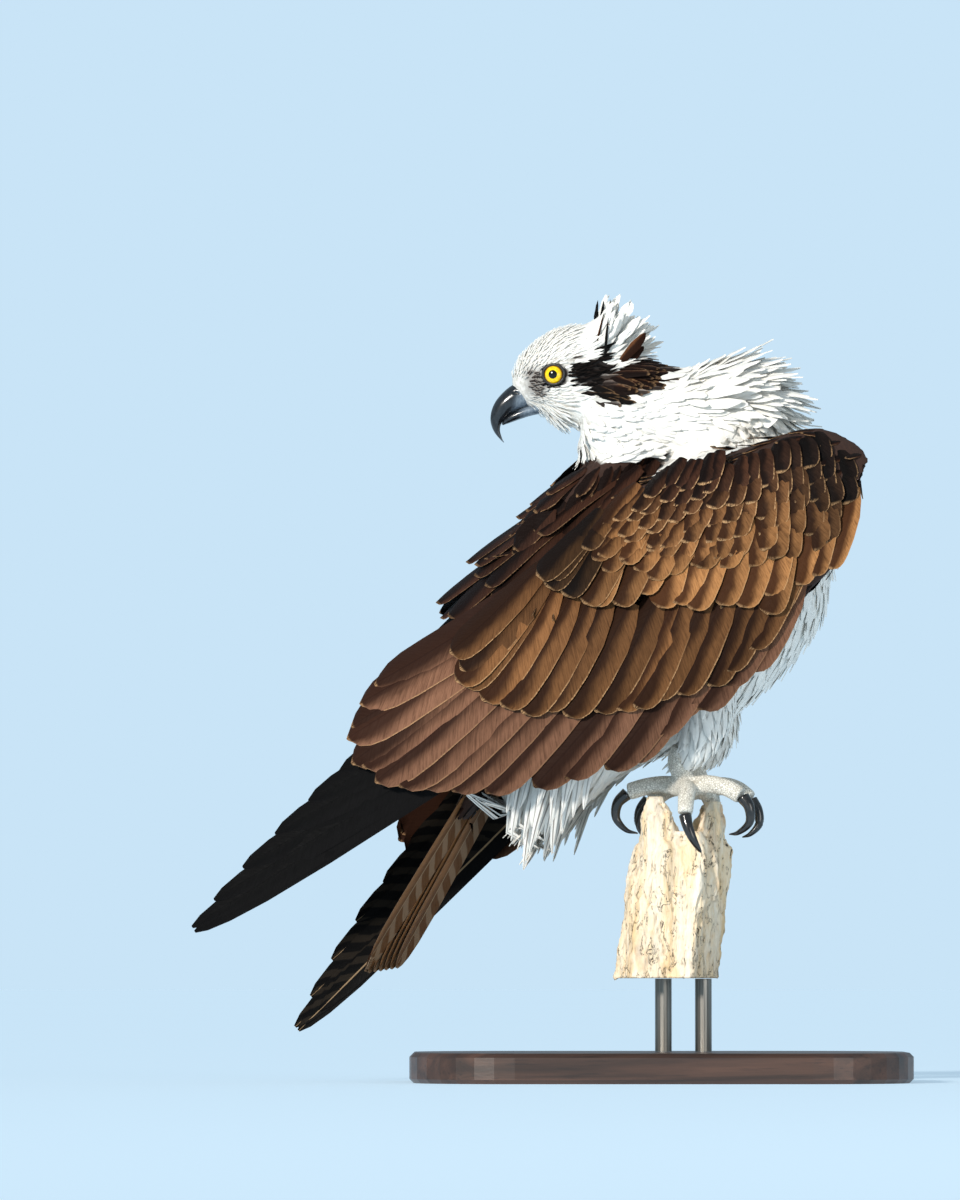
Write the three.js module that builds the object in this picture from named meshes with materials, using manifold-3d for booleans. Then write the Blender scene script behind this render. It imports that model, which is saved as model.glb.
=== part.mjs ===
// A life-size osprey perched on the splintered top of a dead tree, looking back over its own tail.
// The bird is modelled in its own frame, x forward, y to its left and z up, and a turned group sets it on
// the perch. Everything is in millimetres. The origin is the centre of the display base's underside.
import * as THREE from "three";
import { mergeVertices } from "three/addons/utils/BufferGeometryUtils.js";
import Module from "manifold-3d";

const wasm = await Module();
wasm.setup();

// Driving dimensions.
const GAP = 0.3; // what touching pieces keep between them
const BIRD_TURN = THREE.MathUtils.degToRad(-12); // the breast turns a little towards the viewer
const BIRD_PLACE = [15, 5, 0];
const BASE = { length: 300, width: 200, height: 18, corner: 60, bevel: 2.5 };
const ROD = { radius: 5, top: 62, places: [[2, 5], [26, 5]] };
const VANE_THICKNESS = 0.8; // the thickness of a feather's web along its shaft

// The wings, folded: from the wrist to the longest primary's tip. The left one hangs a little steeper.
const WINGS = {
  right: { side: -1, wrist: [118, 74, 367], pitch: 33.9, length: 503, below: 1 },
  left: { side: 1, wrist: [82, 74, 379], pitch: 46.9, length: 484, below: 0.5 },
};
const WING = {
  tipInset: 36, // how much nearer to the midline the tip lies than the wrist
  crown: 15, // how far the folded wing bulges over the body's side
  backWrap: 46, // how far its upper edge turns in over the back
  backWidth: 92,
  bellyWrap: 13, // how far its lower edge turns in under the belly
  bellyWidth: 72,
};

const vec = (x, y, z) => new THREE.Vector3(x, y, z);
const lerp = THREE.MathUtils.lerp;
const smooth = THREE.MathUtils.smoothstep;

// Solids from vertices and triangles.

function solidFrom(points, index) {
  const flat = new Float32Array(points.flatMap((p) => [p.x, p.y, p.z]));
  const geometry = new THREE.BufferGeometry();
  geometry.setAttribute("position", new THREE.BufferAttribute(flat, 3));
  geometry.setIndex(index);
  return solidOf(geometry);
}

function solidOf(source) {
  const geometry = source.clone();
  geometry.deleteAttribute("normal");
  geometry.deleteAttribute("uv");
  const merged = mergeVertices(geometry, 1e-4);
  const position = merged.attributes.position;
  const triangles = [];
  for (let i = 0; i < merged.index.count; i += 3) {
    const [a, b, c] = [0, 1, 2].map((k) => merged.index.getX(i + k));
    if (a !== b && b !== c && c !== a) triangles.push(a, b, c);
  }
  const point = (i) => vec(position.getX(i), position.getY(i), position.getZ(i));
  let volume = 0;
  for (let i = 0; i < triangles.length; i += 3) {
    const [a, b, c] = [0, 1, 2].map((k) => point(triangles[i + k]));
    volume += a.dot(b.cross(c));
  }
  if (volume < 0) triangles.reverse();
  return new wasm.Manifold(
    new wasm.Mesh({
      numProp: 3,
      vertProperties: new Float32Array(position.array),
      triVerts: new Uint32Array(triangles),
    }),
  );
}

const join = (solids) => wasm.Manifold.union(solids);

function largest(solid) {
  return solid.decompose().reduce((best, s) => (s.volume() > best.volume() ? s : best));
}

// A closed round body: row 0 and the last row of the grid are its two poles.
function gridSolid(around, along, place) {
  const geometry = new THREE.SphereGeometry(1, around, along);
  const position = geometry.attributes.position;
  for (let row = 0; row <= along; row++) {
    for (let column = 0; column <= around; column++) {
      const p = place((column % around) / around, row / along);
      position.setXYZ(row * (around + 1) + column, p.x, p.y, p.z);
    }
  }
  return solidOf(geometry);
}

// A body lofted through stations of [x, y, z, half width, half height]; side is roughly its width's direction.
function loft(stations, side, { around = 16, along = 14, grow = 0 } = {}) {
  const centre = new THREE.CatmullRomCurve3(stations.map((s) => vec(s[0], s[1], s[2])));
  const radii = new THREE.CatmullRomCurve3(stations.map((s) => vec(s[3], s[4], 0)));
  const sideways = vec(...side).normalize();
  return gridSolid(around, along, (u, v) => {
    const t = THREE.MathUtils.clamp((v * along - 1) / (along - 2), 0, 1);
    const p = centre.getPoint(t);
    const tangent = centre.getTangent(t);
    if (v === 0) return p.addScaledVector(tangent, -grow);
    if (v === 1) return p.addScaledVector(tangent, grow);
    const up = tangent.clone().cross(sideways).normalize();
    const across = up.clone().cross(tangent).normalize();
    const radius = radii.getPoint(t);
    const angle = 2 * Math.PI * u;
    return p
      .addScaledVector(across, Math.cos(angle) * (Math.max(radius.x, 0.2) + grow))
      .addScaledVector(up, Math.sin(angle) * (Math.max(radius.y, 0.2) + grow));
  });
}

// Feathers.

const FEATHER = [[0, 0.55], [0.7, 1], [0.92, 0.74], [1, 0.16]];
const POINTED = [[0, 0.55], [0.55, 1], [0.88, 0.6], [1, 0.12]];
const SHORT = [[0, 0.7], [0.72, 1], [1, 0.3]];
const LOCK = [[0, 0.7], [0.5, 1], [1, 0.08]];

// A thin closed vane through stations of { at, across, normal, half }, its two faces split alike.
function vane(stations, thickness = VANE_THICKNESS, grow = 0) {
  const points = [];
  const last = stations.length - 1;
  const reach = stations[last].at.clone().sub(stations[last - 1].at).setLength(grow);
  stations.forEach(({ at, across, normal, half }, i) => {
    const centre = i === last ? at.clone().add(reach) : at.clone();
    for (const [s, n] of [[-1, 1], [1, 1], [1, -1], [-1, -1]]) {
      const corner = centre.clone().addScaledVector(across, s * (half + grow));
      points.push(corner.addScaledVector(normal, n * (thickness / 2 + grow)));
    }
  });
  const index = [];
  for (let i = 0; i < stations.length - 1; i++) {
    const [a, b] = [4 * i, 4 * i + 4];
    index.push(a, a + 1, b + 1, a, b + 1, b); // the upper face
    index.push(a + 3, b + 2, a + 2, a + 3, b + 3, b + 2); // the lower face, split the same way
    index.push(a + 1, a + 2, b + 2, a + 1, b + 2, b + 1);
    index.push(a + 3, a, b, a + 3, b, b + 3);
  }
  const end = 4 * (stations.length - 1);
  index.push(0, 2, 1, 0, 3, 2, end, end + 1, end + 2, end, end + 2, end + 3);
  return solidFrom(points, index);
}

// A vane in open space, from its root to its tip, with its flat side facing along normal and a droop at its tip.
function freeVane(root, tip, normal, half, options = {}) {
  const { outline = FEATHER, droop = 0, thickness = VANE_THICKNESS, grow = 0 } = options;
  const [start, end, up] = [vec(...root), vec(...tip), vec(...normal).normalize()];
  const along = end.clone().sub(start).normalize();
  const across = up.clone().cross(along).normalize();
  const face = along.clone().cross(across).normalize();
  return vane(
    outline.map(([t, w]) => ({
      at: start.clone().lerp(end, t).addScaledVector(face, droop * Math.sin(Math.PI * t)),
      across,
      normal: face,
      half: half * w,
    })),
    thickness,
    grow,
  );
}

// The folded wing's surface. a runs from the wrist to the tip, b up across it, and layer is outwards from it.
function wingFrame({ side, wrist: [x, y, z], pitch, length, below }) {
  const down = THREE.MathUtils.degToRad(pitch);
  const run = Math.sqrt(length ** 2 - WING.tipInset ** 2);
  const wrist = vec(x, side * y, z);
  const along = vec(-Math.cos(down) * run, -side * WING.tipInset, -Math.sin(down) * run).normalize();
  const up = vec(-Math.sin(down), 0, Math.cos(down));
  const out = along.clone().cross(up).multiplyScalar(-1).normalize();
  if (out.y * side < 0) out.negate();
  const bulge = (a, b) => {
    const t = THREE.MathUtils.clamp(a / length, 0, 1);
    const crown = WING.crown * Math.sin(Math.PI * Math.min(1, 1.15 * t + 0.05)) ** 0.8;
    const fade = 1 - 0.8 * smooth(a, 230, 480);
    const wrap = b > 0 ? WING.backWrap * (b / WING.backWidth) ** 2 : WING.bellyWrap * (b / WING.bellyWidth) ** 2;
    const lead = 20 * Math.max(0, 1 - (a + 12) / 60) ** 2;
    return crown - wrap * fade - lead;
  };
  const at = (a, b, layer = 0) => {
    const height = b < 0 ? b * below : b;
    return wrist.clone().addScaledVector(along, a).addScaledVector(up, height).addScaledVector(out, bulge(a, b) + layer);
  };
  const normal = (a, b) => {
    const da = at(a + 2, b).sub(at(a - 2, b));
    const db = at(a, b + 2).sub(at(a, b - 2));
    const n = da.cross(db).normalize();
    return n.dot(out) < 0 ? n.negate() : n;
  };
  return { at, normal, length };
}

// A feather that lies on the wing, from [a, b] at its root to [a, b] at its tip. It leans like a shingle.
function wingFeather(frame, root, tip, options) {
  const { half, layer, sink = 2.5, lean = 7, bow = 0, outline = FEATHER, grow = 0 } = options;
  const tilt = THREE.MathUtils.degToRad(lean);
  const [da, db] = [tip[0] - root[0], tip[1] - root[1]];
  return vane(
    outline.map(([t, w]) => {
      const arch = bow * Math.sin(Math.PI * t);
      const length = Math.hypot(da, db);
      const a = root[0] + da * t - (db / length) * arch;
      const b = root[1] + db * t + (da / length) * arch;
      const normal = frame.normal(a, b);
      const at = frame.at(a, b).addScaledVector(normal, layer - sink * (1 - smooth(t, 0, 0.45)));
      const ahead = frame.at(a + (da / length) * 2, b + (db / length) * 2).sub(frame.at(a, b)).normalize();
      const flat = normal.clone().cross(ahead).normalize();
      const upward = frame.at(a, b + 2).sub(frame.at(a, b));
      if (flat.dot(upward) < 0) flat.negate();
      const across = flat.clone().multiplyScalar(Math.cos(tilt)).addScaledVector(normal, -Math.sin(tilt));
      const face = normal.clone().multiplyScalar(Math.cos(tilt)).addScaledVector(flat, Math.sin(tilt));
      return { at, across: across.normalize(), normal: face.normalize(), half: half * w };
    }),
    VANE_THICKNESS,
    grow,
  );
}

// A row of feathers: roots and tips are curves through the [a, b] points given, from the lowest feather up.
function featherRow(frame, count, roots, tips, options) {
  const curve = (points) => new THREE.CatmullRomCurve3(points.map(([a, b]) => vec(a, b, 0)));
  const [rootCurve, tipCurve] = [curve(roots), curve(tips)];
  return Array.from({ length: count }, (_, i) => {
    const t = i / (count - 1);
    const [root, tip] = [rootCurve.getPoint(t), tipCurve.getPoint(t)];
    const half = lerp(options.half[0], options.half[1], t);
    return wingFeather(frame, [root.x, root.y], [tip.x, tip.y], { ...options, half });
  });
}

// A pillow of flesh and small feathers on the wing, between an outer and an inner layer, inside an outline.
function wingPillow(frame, outline, outer, inner, { around = 18, along = 10, grow = 0 } = {}) {
  const loop = new THREE.CatmullRomCurve3(outline.map(([a, b]) => vec(a, b, 0)), true);
  const middle = outline.reduce((sum, [a, b]) => sum.add(vec(a, b, 0)), vec(0, 0, 0)).divideScalar(outline.length);
  return gridSolid(around, along, (u, v) => {
    const edge = loop.getPoint(u);
    const reach = edge.clone().sub(middle);
    const radial = Math.sin(Math.PI * v) ** 0.7;
    const p = middle.clone().addScaledVector(reach, radial).addScaledVector(reach.normalize(), radial * grow);
    const high = outer(p.x, p.y) + grow;
    const low = inner(p.x, p.y) - grow;
    const depth = (1 - Math.cos(Math.PI * v)) / 2;
    return frame.at(p.x, p.y, lerp(high, low, depth));
  });
}

// The flesh: each body is a loft that can be grown by the gap to cut its neighbours.

const TORSO = [
  [-125, 0, 187, 20, 10],
  [-108, 0, 198, 30, 22],
  [-88, 0, 213, 42, 38],
  [-56, 0, 237, 54, 56],
  [-17, 0, 272, 62, 70],
  [16, 0, 313, 64, 75],
  [31, 0, 349, 57, 59],
  [37, 0, 378, 42, 42],
  [37, 0, 394, 16, 16],
];
const NECK = [
  [38, 0, 352, 28, 28],
  [34, 0, 375, 36, 35],
  [20, -1, 391, 38, 36],
  [-1, -4, 396, 35, 29],
  [-22, -8, 401, 33, 32],
  [-42, -12, 404, 30, 37],
  [-56, -14, 408, 23, 29],
];
const torso = (grow = 0) => loft(TORSO, [0, 1, 0], { around: 16, along: 12, grow });
const neck = (grow = 0) => loft(NECK, [0, 1, 0], { around: 14, along: 8, grow });

// The head, in its own frame: x towards the bill, y to its left, z up.
const HEAD_PLACE = { x: -66, y: -15, z: 424, turn: 192 };
const HEAD = [
  [-38, 0, 4, 6, 8],
  [-33, 0, 4, 16, 18],
  [-20, 0, 3, 24, 27],
  [-4, 0, 1, 27, 31],
  [10, 0, -2, 25, 29],
  [21, 0, -5, 19, 23],
  [29, 0, -9, 12, 15],
  [34, 0, -12, 7, 8],
];
// Pairs of points on the ridge and on the cutting edge of the upper bill, with its half width.
const UPPER_BILL = [
  [[24, -2], [17, -15], 7.5],
  [[35, -4.6], [27, -18], 7.6],
  [[42.6, -10.8], [34.8, -21], 6.8],
  [[47.4, -18], [39, -24.6], 5.4],
  [[48.6, -25], [42.4, -28.8], 3.9],
  [[47, -31.6], [43.4, -33.2], 2.3],
  [[43.4, -37.4], [42, -37.4], 1.1],
  [[41.2, -39.8], [40.8, -39.6], 0.5],
];
const LOWER_BILL = [
  [[17, -15.5], [19, -22], 6.6],
  [[27, -18], [26, -24], 6.4],
  [[34.6, -21], [33.6, -26.6], 5],
  [[39.6, -24.8], [39, -28.6], 3.2],
  [[42, -28.4], [41.8, -29.6], 1.2],
];
const EYE = { x: 10.5, y: 19.8, z: -0.4, radius: 7 };

function bill(pairs, grow = 0) {
  const stations = pairs.map(([top, bottom, half]) => [
    (top[0] + bottom[0]) / 2,
    0,
    (top[1] + bottom[1]) / 2,
    half,
    Math.hypot(top[0] - bottom[0], top[1] - bottom[1]) / 2,
  ]);
  return loft(stations, [0, 1, 0], { around: 8, along: 10, grow });
}

function ball(x, y, z, radius, detail = 10) {
  return solidOf(new THREE.SphereGeometry(radius, detail, detail - 2).translate(x, y, z));
}

function eyelids(side) {
  const ring = new THREE.TorusGeometry(6.6, 1.1, 4, 10);
  ring.rotateX(Math.PI / 2).rotateZ(side * 0.22).translate(EYE.x + 0.4, side * (EYE.y + 4), EYE.z);
  return solidOf(ring);
}

function nostril(side) {
  const slot = new THREE.CapsuleGeometry(0.7, 3.2, 2, 6);
  slot.rotateZ(-1.1).rotateX(Math.PI / 2).translate(36, side * 6.6, -10.6);
  return solidOf(slot);
}

// Ruffled feathers of the crest: root, tip, half width. The tips stand up and back, as in a wind.
function crest(grow = 0) {
  const locks = [];
  const rows = [
    { count: 3, x: -10, height: 27, reach: [-20, 47], spread: 9, half: 6.4 },
    { count: 3, x: -20, height: 20, reach: [-33, 38], spread: 12, half: 7.6 },
    { count: 3, x: -27, height: 10, reach: [-48, 24], spread: 14, half: 8.4 },
    { count: 3, x: -31, height: 1, reach: [-61, 5], spread: 13, half: 8.6 },
  ];
  for (const row of rows) {
    for (let i = 0; i < row.count; i++) {
      const across = lerp(-1, 1, i / (row.count - 1));
      const low = 9 * across * across;
      const shrink = 1 - 0.22 * across * across;
      const root = [row.x, across * row.spread * 0.8, row.height - low - 4];
      const tip = [
        lerp(row.x, row.reach[0], shrink),
        across * row.spread * 1.25,
        lerp(row.height, row.reach[1], shrink) - low,
      ];
      locks.push(freeVane(root, tip, [1, across * 1.2, 0.7], row.half, { outline: LOCK, droop: 2, thickness: 1, grow }));
    }
  }
  return locks;
}

// Shaggy feathers of the chin and throat, in rows along the lower side of the head.
function beard(grow = 0) {
  const locks = [];
  for (let row = 0; row < 3; row++) {
    for (let i = 0; i < 3; i++) {
      const across = i - 1;
      const x = lerp(21, -8, row / 2);
      const z = lerp(-20, -26, row / 2);
      const width = lerp(8, 18, row / 2);
      const root = [x, across * width * 0.7, z + 6 * across * across + 3];
      const tip = [x - 3 - row, across * width, z - 15 - 5 * row + 9 * across * across];
      locks.push(freeVane(root, tip, [1, 0.5 * across, 0.4], 6.5, { outline: LOCK, droop: 1, thickness: 1, grow }));
    }
  }
  return locks;
}

// Long loose feathers round the neck, blown back and up on the nape.
function ruff() {
  const locks = [];
  const rows = [
    { t: 0.26, count: 5, length: 36, lift: 0.36, half: 13 },
    { t: 0.52, count: 5, length: 34, lift: 0.3, half: 12 },
    { t: 0.74, count: 3, length: 28, lift: 0.22, half: 12 },
  ];
  const centre = new THREE.CatmullRomCurve3(NECK.map((s) => vec(s[0], s[1], s[2])));
  const radii = new THREE.CatmullRomCurve3(NECK.map((s) => vec(s[3], s[4], 0)));
  for (const row of rows) {
    const p = centre.getPoint(row.t);
    const tangent = centre.getTangent(row.t);
    const radius = radii.getPoint(row.t);
    const up = tangent.clone().cross(vec(0, 1, 0)).normalize();
    for (let i = 0; i < row.count; i++) {
      const angle = lerp(-0.1 * Math.PI, 1.1 * Math.PI, i / (row.count - 1));
      const out = vec(0, Math.cos(angle), 0).addScaledVector(up, -Math.sin(angle)).normalize();
      if (out.z < -0.35) continue;
      const wide = Math.hypot(radius.x * Math.cos(angle), radius.y * Math.sin(angle));
      const root = p.clone().addScaledVector(out, wide - 4);
      const tip = root
        .clone()
        .addScaledVector(tangent, -row.length * Math.cos(row.lift))
        .addScaledVector(out, row.length * Math.sin(row.lift) + 4);
      locks.push(freeVane(root.toArray(), tip.toArray(), out.toArray(), row.half, { outline: LOCK, droop: 2, thickness: 1 }));
    }
  }
  return locks;
}

// The legs. Each foot has four toes on the perch; a toe is a list of [x, y, z, radius] from the foot out.
const THIGH = [
  [8, 30, 262, 22, 26],
  [16, 31, 238, 20, 23],
  [17, 30, 216, 15, 17],
  [11, 28, 200, 11, 12],
  [3, 26, 192, 7, 8],
];
const LEFT_LEG_BACK = 8; // how much further back the left thigh is drawn up
const FEET = {
  right: {
    ankle: [[4, -27, 200, 7], [1, -26, 192, 6.6], [3, -25, 184, 6.2], [6, -24, 177, 6.6]],
    toes: [
      [[6, -24, 176, 6.2], [18, -26, 178, 5.6], [30, -29, 176, 5.2], [40, -31, 171, 5.2]],
      [[4, -26, 176, 6], [8, -36, 174, 5.4], [9, -44, 168, 5], [9, -47, 160, 4.6]],
      [[4, -24, 176, 6], [-8, -20, 178, 5.4], [-20, -17, 177, 5.2], [-31, -16, 174, 5.2]],
      [[5, -21, 175, 6], [10, -10, 177, 5.2], [14, -3, 173, 5], [16, 1, 167, 4.6]],
    ],
    talons: [
      [[41, -31, 170, 4], [45, -32, 164, 3.2], [45, -31, 155, 2.5], [38, -29, 149, 1.5], [32, -27, 148, 0.4]],
      [[9, -47, 159, 3.8], [11, -49, 152, 3.2], [14, -49, 145, 2.5], [17, -46, 139, 1.4], [18, -44, 137, 0.4]],
      [[-32, -16, 173, 4], [-38, -16, 167, 3.2], [-39, -15, 158, 2.5], [-33, -15, 151, 1.5], [-26, -14, 149, 0.4]],
      [[16, 1, 166, 3.8], [17, 2, 160, 3], [15, 2, 154, 2.2], [12, 1, 150, 1.3], [10, 0, 149, 0.4]],
    ],
  },
  left: {
    ankle: [[4, 27, 200, 7], [1, 26, 192, 6.6], [3, 25, 184, 6.2], [6, 24, 177, 6.6]],
    toes: [
      [[6, 24, 176, 6.2], [18, 24, 178, 5.6], [28, 22, 176, 5.2], [36, 20, 170, 5.2]],
      [[4, 26, 176, 6], [8, 36, 174, 5.4], [9, 43, 168, 5], [9, 45, 160, 4.6]],
      [[4, 25, 176, 6], [-8, 28, 178, 5.4], [-18, 30, 176, 5.2], [-27, 31, 171, 5.2]],
      [[4, 21, 175, 6], [-4, 12, 177, 5.2], [-12, 6, 175, 5], [-19, 3, 169, 4.6]],
    ],
    talons: [
      [[37, 20, 169, 4], [41, 19, 163, 3.2], [42, 18, 155, 2.5], [37, 17, 149, 1.5], [32, 17, 147, 0.4]],
      [[9, 45, 159, 3.8], [10, 47, 152, 3.2], [11, 47, 145, 2.5], [12, 43, 139, 1.4], [12, 40, 137, 0.4]],
      [[-28, 31, 170, 4], [-33, 31, 164, 3.2], [-34, 30, 156, 2.5], [-29, 29, 149, 1.5], [-24, 28, 148, 0.4]],
      [[-20, 3, 168, 3.8], [-26, 2, 162, 3], [-28, 1, 154, 2.3], [-25, 0, 148, 1.3], [-20, 0, 146, 0.4]],
    ],
  },
};

const round = (points) => points.map(([x, y, z, r]) => [x, y, z, r, r]);

function leg(side, grow = 0) {
  const back = side > 0 ? LEFT_LEG_BACK : 0;
  const stations = THIGH.map(([x, y, z, w, h]) => [x - back * smooth(z, 190, 236), side * y, z, w, h]);
  return loft(stations, [0, 1, 0], { around: 12, along: 7, grow });
}

function foot({ ankle, toes }, grow = 0) {
  const tarsus = loft(round(ankle), [0, 1, 0], { around: 8, along: 5, grow });
  const made = toes.map((toe) => loft(round(toe), [0.3, 0.3, -1], { around: 7, along: 6, grow }));
  return join([tarsus, ...made]);
}

function talon(points, grow = 0) {
  return loft(round(points), [0.1, 0.3, 1], { around: 6, along: 7, grow });
}

// Soft feathers of the leg, hanging from its back edge.
function legTufts(side) {
  return Array.from({ length: 4 }, (_, i) => {
    const t = i / 3;
    const forward = side > 0 ? lerp(24, 12, t) - LEFT_LEG_BACK * 0.7 : lerp(24, 12, t);
    const root = [forward, side * lerp(22, 36, (i * 0.4) % 1), lerp(232, 206, t)];
    const tip = [root[0] + 3, root[1], root[2] - 26];
    return freeVane(root, tip, [1, 0.2 * side, 0.4], 7, { outline: LOCK, droop: -2, thickness: 1 });
  });
}

// White feathers under the tail, in rows from the belly back, and how low each row hangs.
const UNDERTAIL_TIPS = [146, 120, 130];
function undertail() {
  const locks = [];
  for (let row = 0; row < 3; row++) {
    for (let i = 0; i < 3; i++) {
      const across = i - 1;
      const root = [lerp(-24, -80, row / 2), across * lerp(24, 15, row / 2), lerp(204, 194, row / 2)];
      const tip = [root[0] - 34, across * lerp(28, 18, row / 2), UNDERTAIL_TIPS[row] + 9 * across * across];
      locks.push(freeVane(root, tip, [-0.5, across * 0.5, -0.6], 13, { outline: LOCK, droop: 3, thickness: 1 }));
    }
  }
  return locks;
}

// The tail: a root block and twelve feathers, the middle pair on top, turned so that its right edge is higher.
const TAIL = { root: [-112, 0, 200], reach: [-83, -133], length: 158, twist: 16, spread: 6.2, half: 10.5, count: 12 };

function tailBlock(grow = 0) {
  const [x, y, z] = TAIL.root;
  const stations = [
    [x + 14, y, z + 18, 16, 9],
    [x, y, z, 20, 11],
    [x - 17, y, z - 28, 20, 8],
    [x - 26, y, z - 43, 15, 4.5],
  ];
  return loft(stations, [0, 1, 0], { around: 12, along: 7, grow });
}

function tailFeathers(grow = 0) {
  const axis = vec(TAIL.reach[0], 0, TAIL.reach[1]).normalize();
  const twist = THREE.MathUtils.degToRad(TAIL.twist);
  const level = vec(0, 1, 0);
  const back = axis.clone().cross(level).normalize();
  if (back.x > 0) back.negate();
  const across = level.clone().multiplyScalar(Math.cos(twist)).addScaledVector(back, -Math.sin(twist));
  const face = back.clone().multiplyScalar(Math.cos(twist)).addScaledVector(level, Math.sin(twist));
  return Array.from({ length: TAIL.count }, (_, i) => {
    const k = i - (TAIL.count - 1) / 2;
    const rank = Math.abs(k) - 0.5; // 0 for the middle pair, 5 for the outermost
    const lift = -1.35 * rank - (k > 0 ? 0.65 : 0);
    const root = vec(...TAIL.root).addScaledVector(across, k * 1.6).addScaledVector(face, 0.5 * lift);
    const length = TAIL.length - 2 * rank;
    const tip = vec(...TAIL.root)
      .addScaledVector(axis, length)
      .addScaledVector(across, k * (TAIL.spread / 2))
      .addScaledVector(face, lift);
    return freeVane(root.toArray(), tip.toArray(), face.toArray(), TAIL.half, { grow });
  });
}

// The back between the wings, with the long shoulder feathers that hang over them.
const MANTLE = [
  [0, 0, 386, 26, 10],
  [-22, 0, 376, 40, 15],
  [-54, 0, 356, 44, 17],
  [-84, 0, 328, 40, 15],
  [-106, 0, 298, 28, 10],
  [-114, 0, 284, 12, 5],
];
const mantle = (grow = 0) => loft(MANTLE, [0, 1, 0], { around: 16, along: 8, grow });

function shoulderFeathers(side, grow = 0) {
  const feathers = [];
  const rows = [
    { count: 3, root: [-34, 366], tip: [-120, 330], reach: [22, 48], half: 13 },
    { count: 3, root: [-58, 350], tip: [-148, 300], reach: [14, 46], half: 13 },
    { count: 3, root: [-80, 328], tip: [-152, 262], reach: [10, 42], half: 13 },
  ];
  for (const [r, row] of rows.entries()) {
    for (let i = 0; i < row.count; i++) {
      const t = i / (row.count - 1);
      const y = lerp(row.reach[0], row.reach[1], t);
      const drop = 0.006 * y * y;
      const root = [row.root[0] + 6 * t, side * y * 0.8, row.root[1] - drop * 0.6 + 5 - 1.2 * r];
      const tip = [row.tip[0] + 26 * t, side * (y + 4), row.tip[1] - drop - 16 * t];
      feathers.push(
        freeVane(root, tip, [-0.5, side * (0.1 + 0.5 * t), 0.8], row.half, { outline: SHORT, droop: 4 - r, grow }),
      );
    }
  }
  return feathers;
}

// The wings. The arm carries the coverts and secondaries; the hand under it carries the primaries.
const ARM_OUTLINE = [
  [-5, 6], [10, 34], [48, 48], [96, 66], [146, 76], [184, 66],
  [186, 34], [166, 6], [140, -18], [104, -33], [62, -32], [24, -20], [0, -7],
];
const HAND_OUTLINE = [[22, -26], [50, -20], [100, -16], [146, -22], [136, -40], [92, -48], [44, -42]];
const PRIMARY_TIPS = [[0.955, 0], [1, 2], [0.95, 10], [0.87, 19], [0.785, 26], [0.705, 31], [0.625, 30]];

function hand(frame, grow = 0) {
  const outer = (a) => -5 + 1.5 * smooth(a, 120, 20);
  return wingPillow(frame, HAND_OUTLINE, outer, () => -24, { around: 10, along: 6, grow });
}

function primaries(frame, grow = 0) {
  return PRIMARY_TIPS.map(([reach, rise], i) => {
    const t = i / (PRIMARY_TIPS.length - 1);
    const root = [lerp(132, 56, t), lerp(-21, -20, t)];
    return wingFeather(frame, root, [reach * frame.length, rise], {
      half: lerp(8.4, 14, t),
      layer: -6.4 - 1.2 * (1 - t),
      sink: 1.5,
      lean: 4,
      outline: POINTED,
      grow,
    });
  });
}

function arm(frame, grow = 0) {
  const outer = (a, b) => 6.5 - 5 * smooth(a, 110, 190) - 2 * smooth(-b, 20, 50);
  const inner = (a, b) => lerp(-2.4, lerp(-24, -44, smooth(a, 20, 70)), smooth(b, -14, 8));
  return wingPillow(frame, ARM_OUTLINE, outer, inner, { around: 16, along: 9, grow });
}

function armFeathers(frame) {
  const secondaries = featherRow(
    frame,
    8,
    [[50, -27], [88, -21], [122, -4], [148, 22], [158, 52]],
    [[124, -61], [168, -65], [210, -65], [256, -52], [302, -29], [338, -2], [356, 22], [350, 42], [320, 56]],
    { half: [17, 21], layer: 0, lean: 6 },
  );
  const greaterCoverts = featherRow(
    frame,
    6,
    [[36, -20], [74, -13], [108, 0], [136, 22], [150, 50]],
    [[95, -53], [138, -55], [178, -50], [224, -30], [256, -4], [278, 22], [266, 44]],
    { half: [17, 22], layer: 3.4, lean: 7, outline: SHORT },
  );
  const medianCoverts = featherRow(
    frame,
    5,
    [[16, -8], [54, 2], [92, 16], [124, 34], [140, 56]],
    [[56, -33], [98, -31], [134, -13], [172, 12], [204, 34], [214, 60]],
    { half: [19, 23], layer: 7, lean: 7, outline: SHORT },
  );
  return [...secondaries, ...greaterCoverts, ...medianCoverts];
}

function wing(name) {
  const frame = wingFrame(WINGS[name]);
  const { side } = WINGS[name];
  const grownHand = join([hand(frame, GAP), ...primaries(frame, GAP)]);
  const grownMantle = join([mantle(GAP), ...shoulderFeathers(side, GAP)]);
  const handPart = join([hand(frame), ...primaries(frame)]).subtract(torso(GAP)).subtract(leg(side, GAP));
  const armPart = join([arm(frame).subtract(grownHand), ...armFeathers(frame).map((f) => f.subtract(grownHand))]);
  return { hand: largest(handPart), arm: largest(armPart.subtract(torso(GAP)).subtract(grownMantle)) };
}

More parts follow.
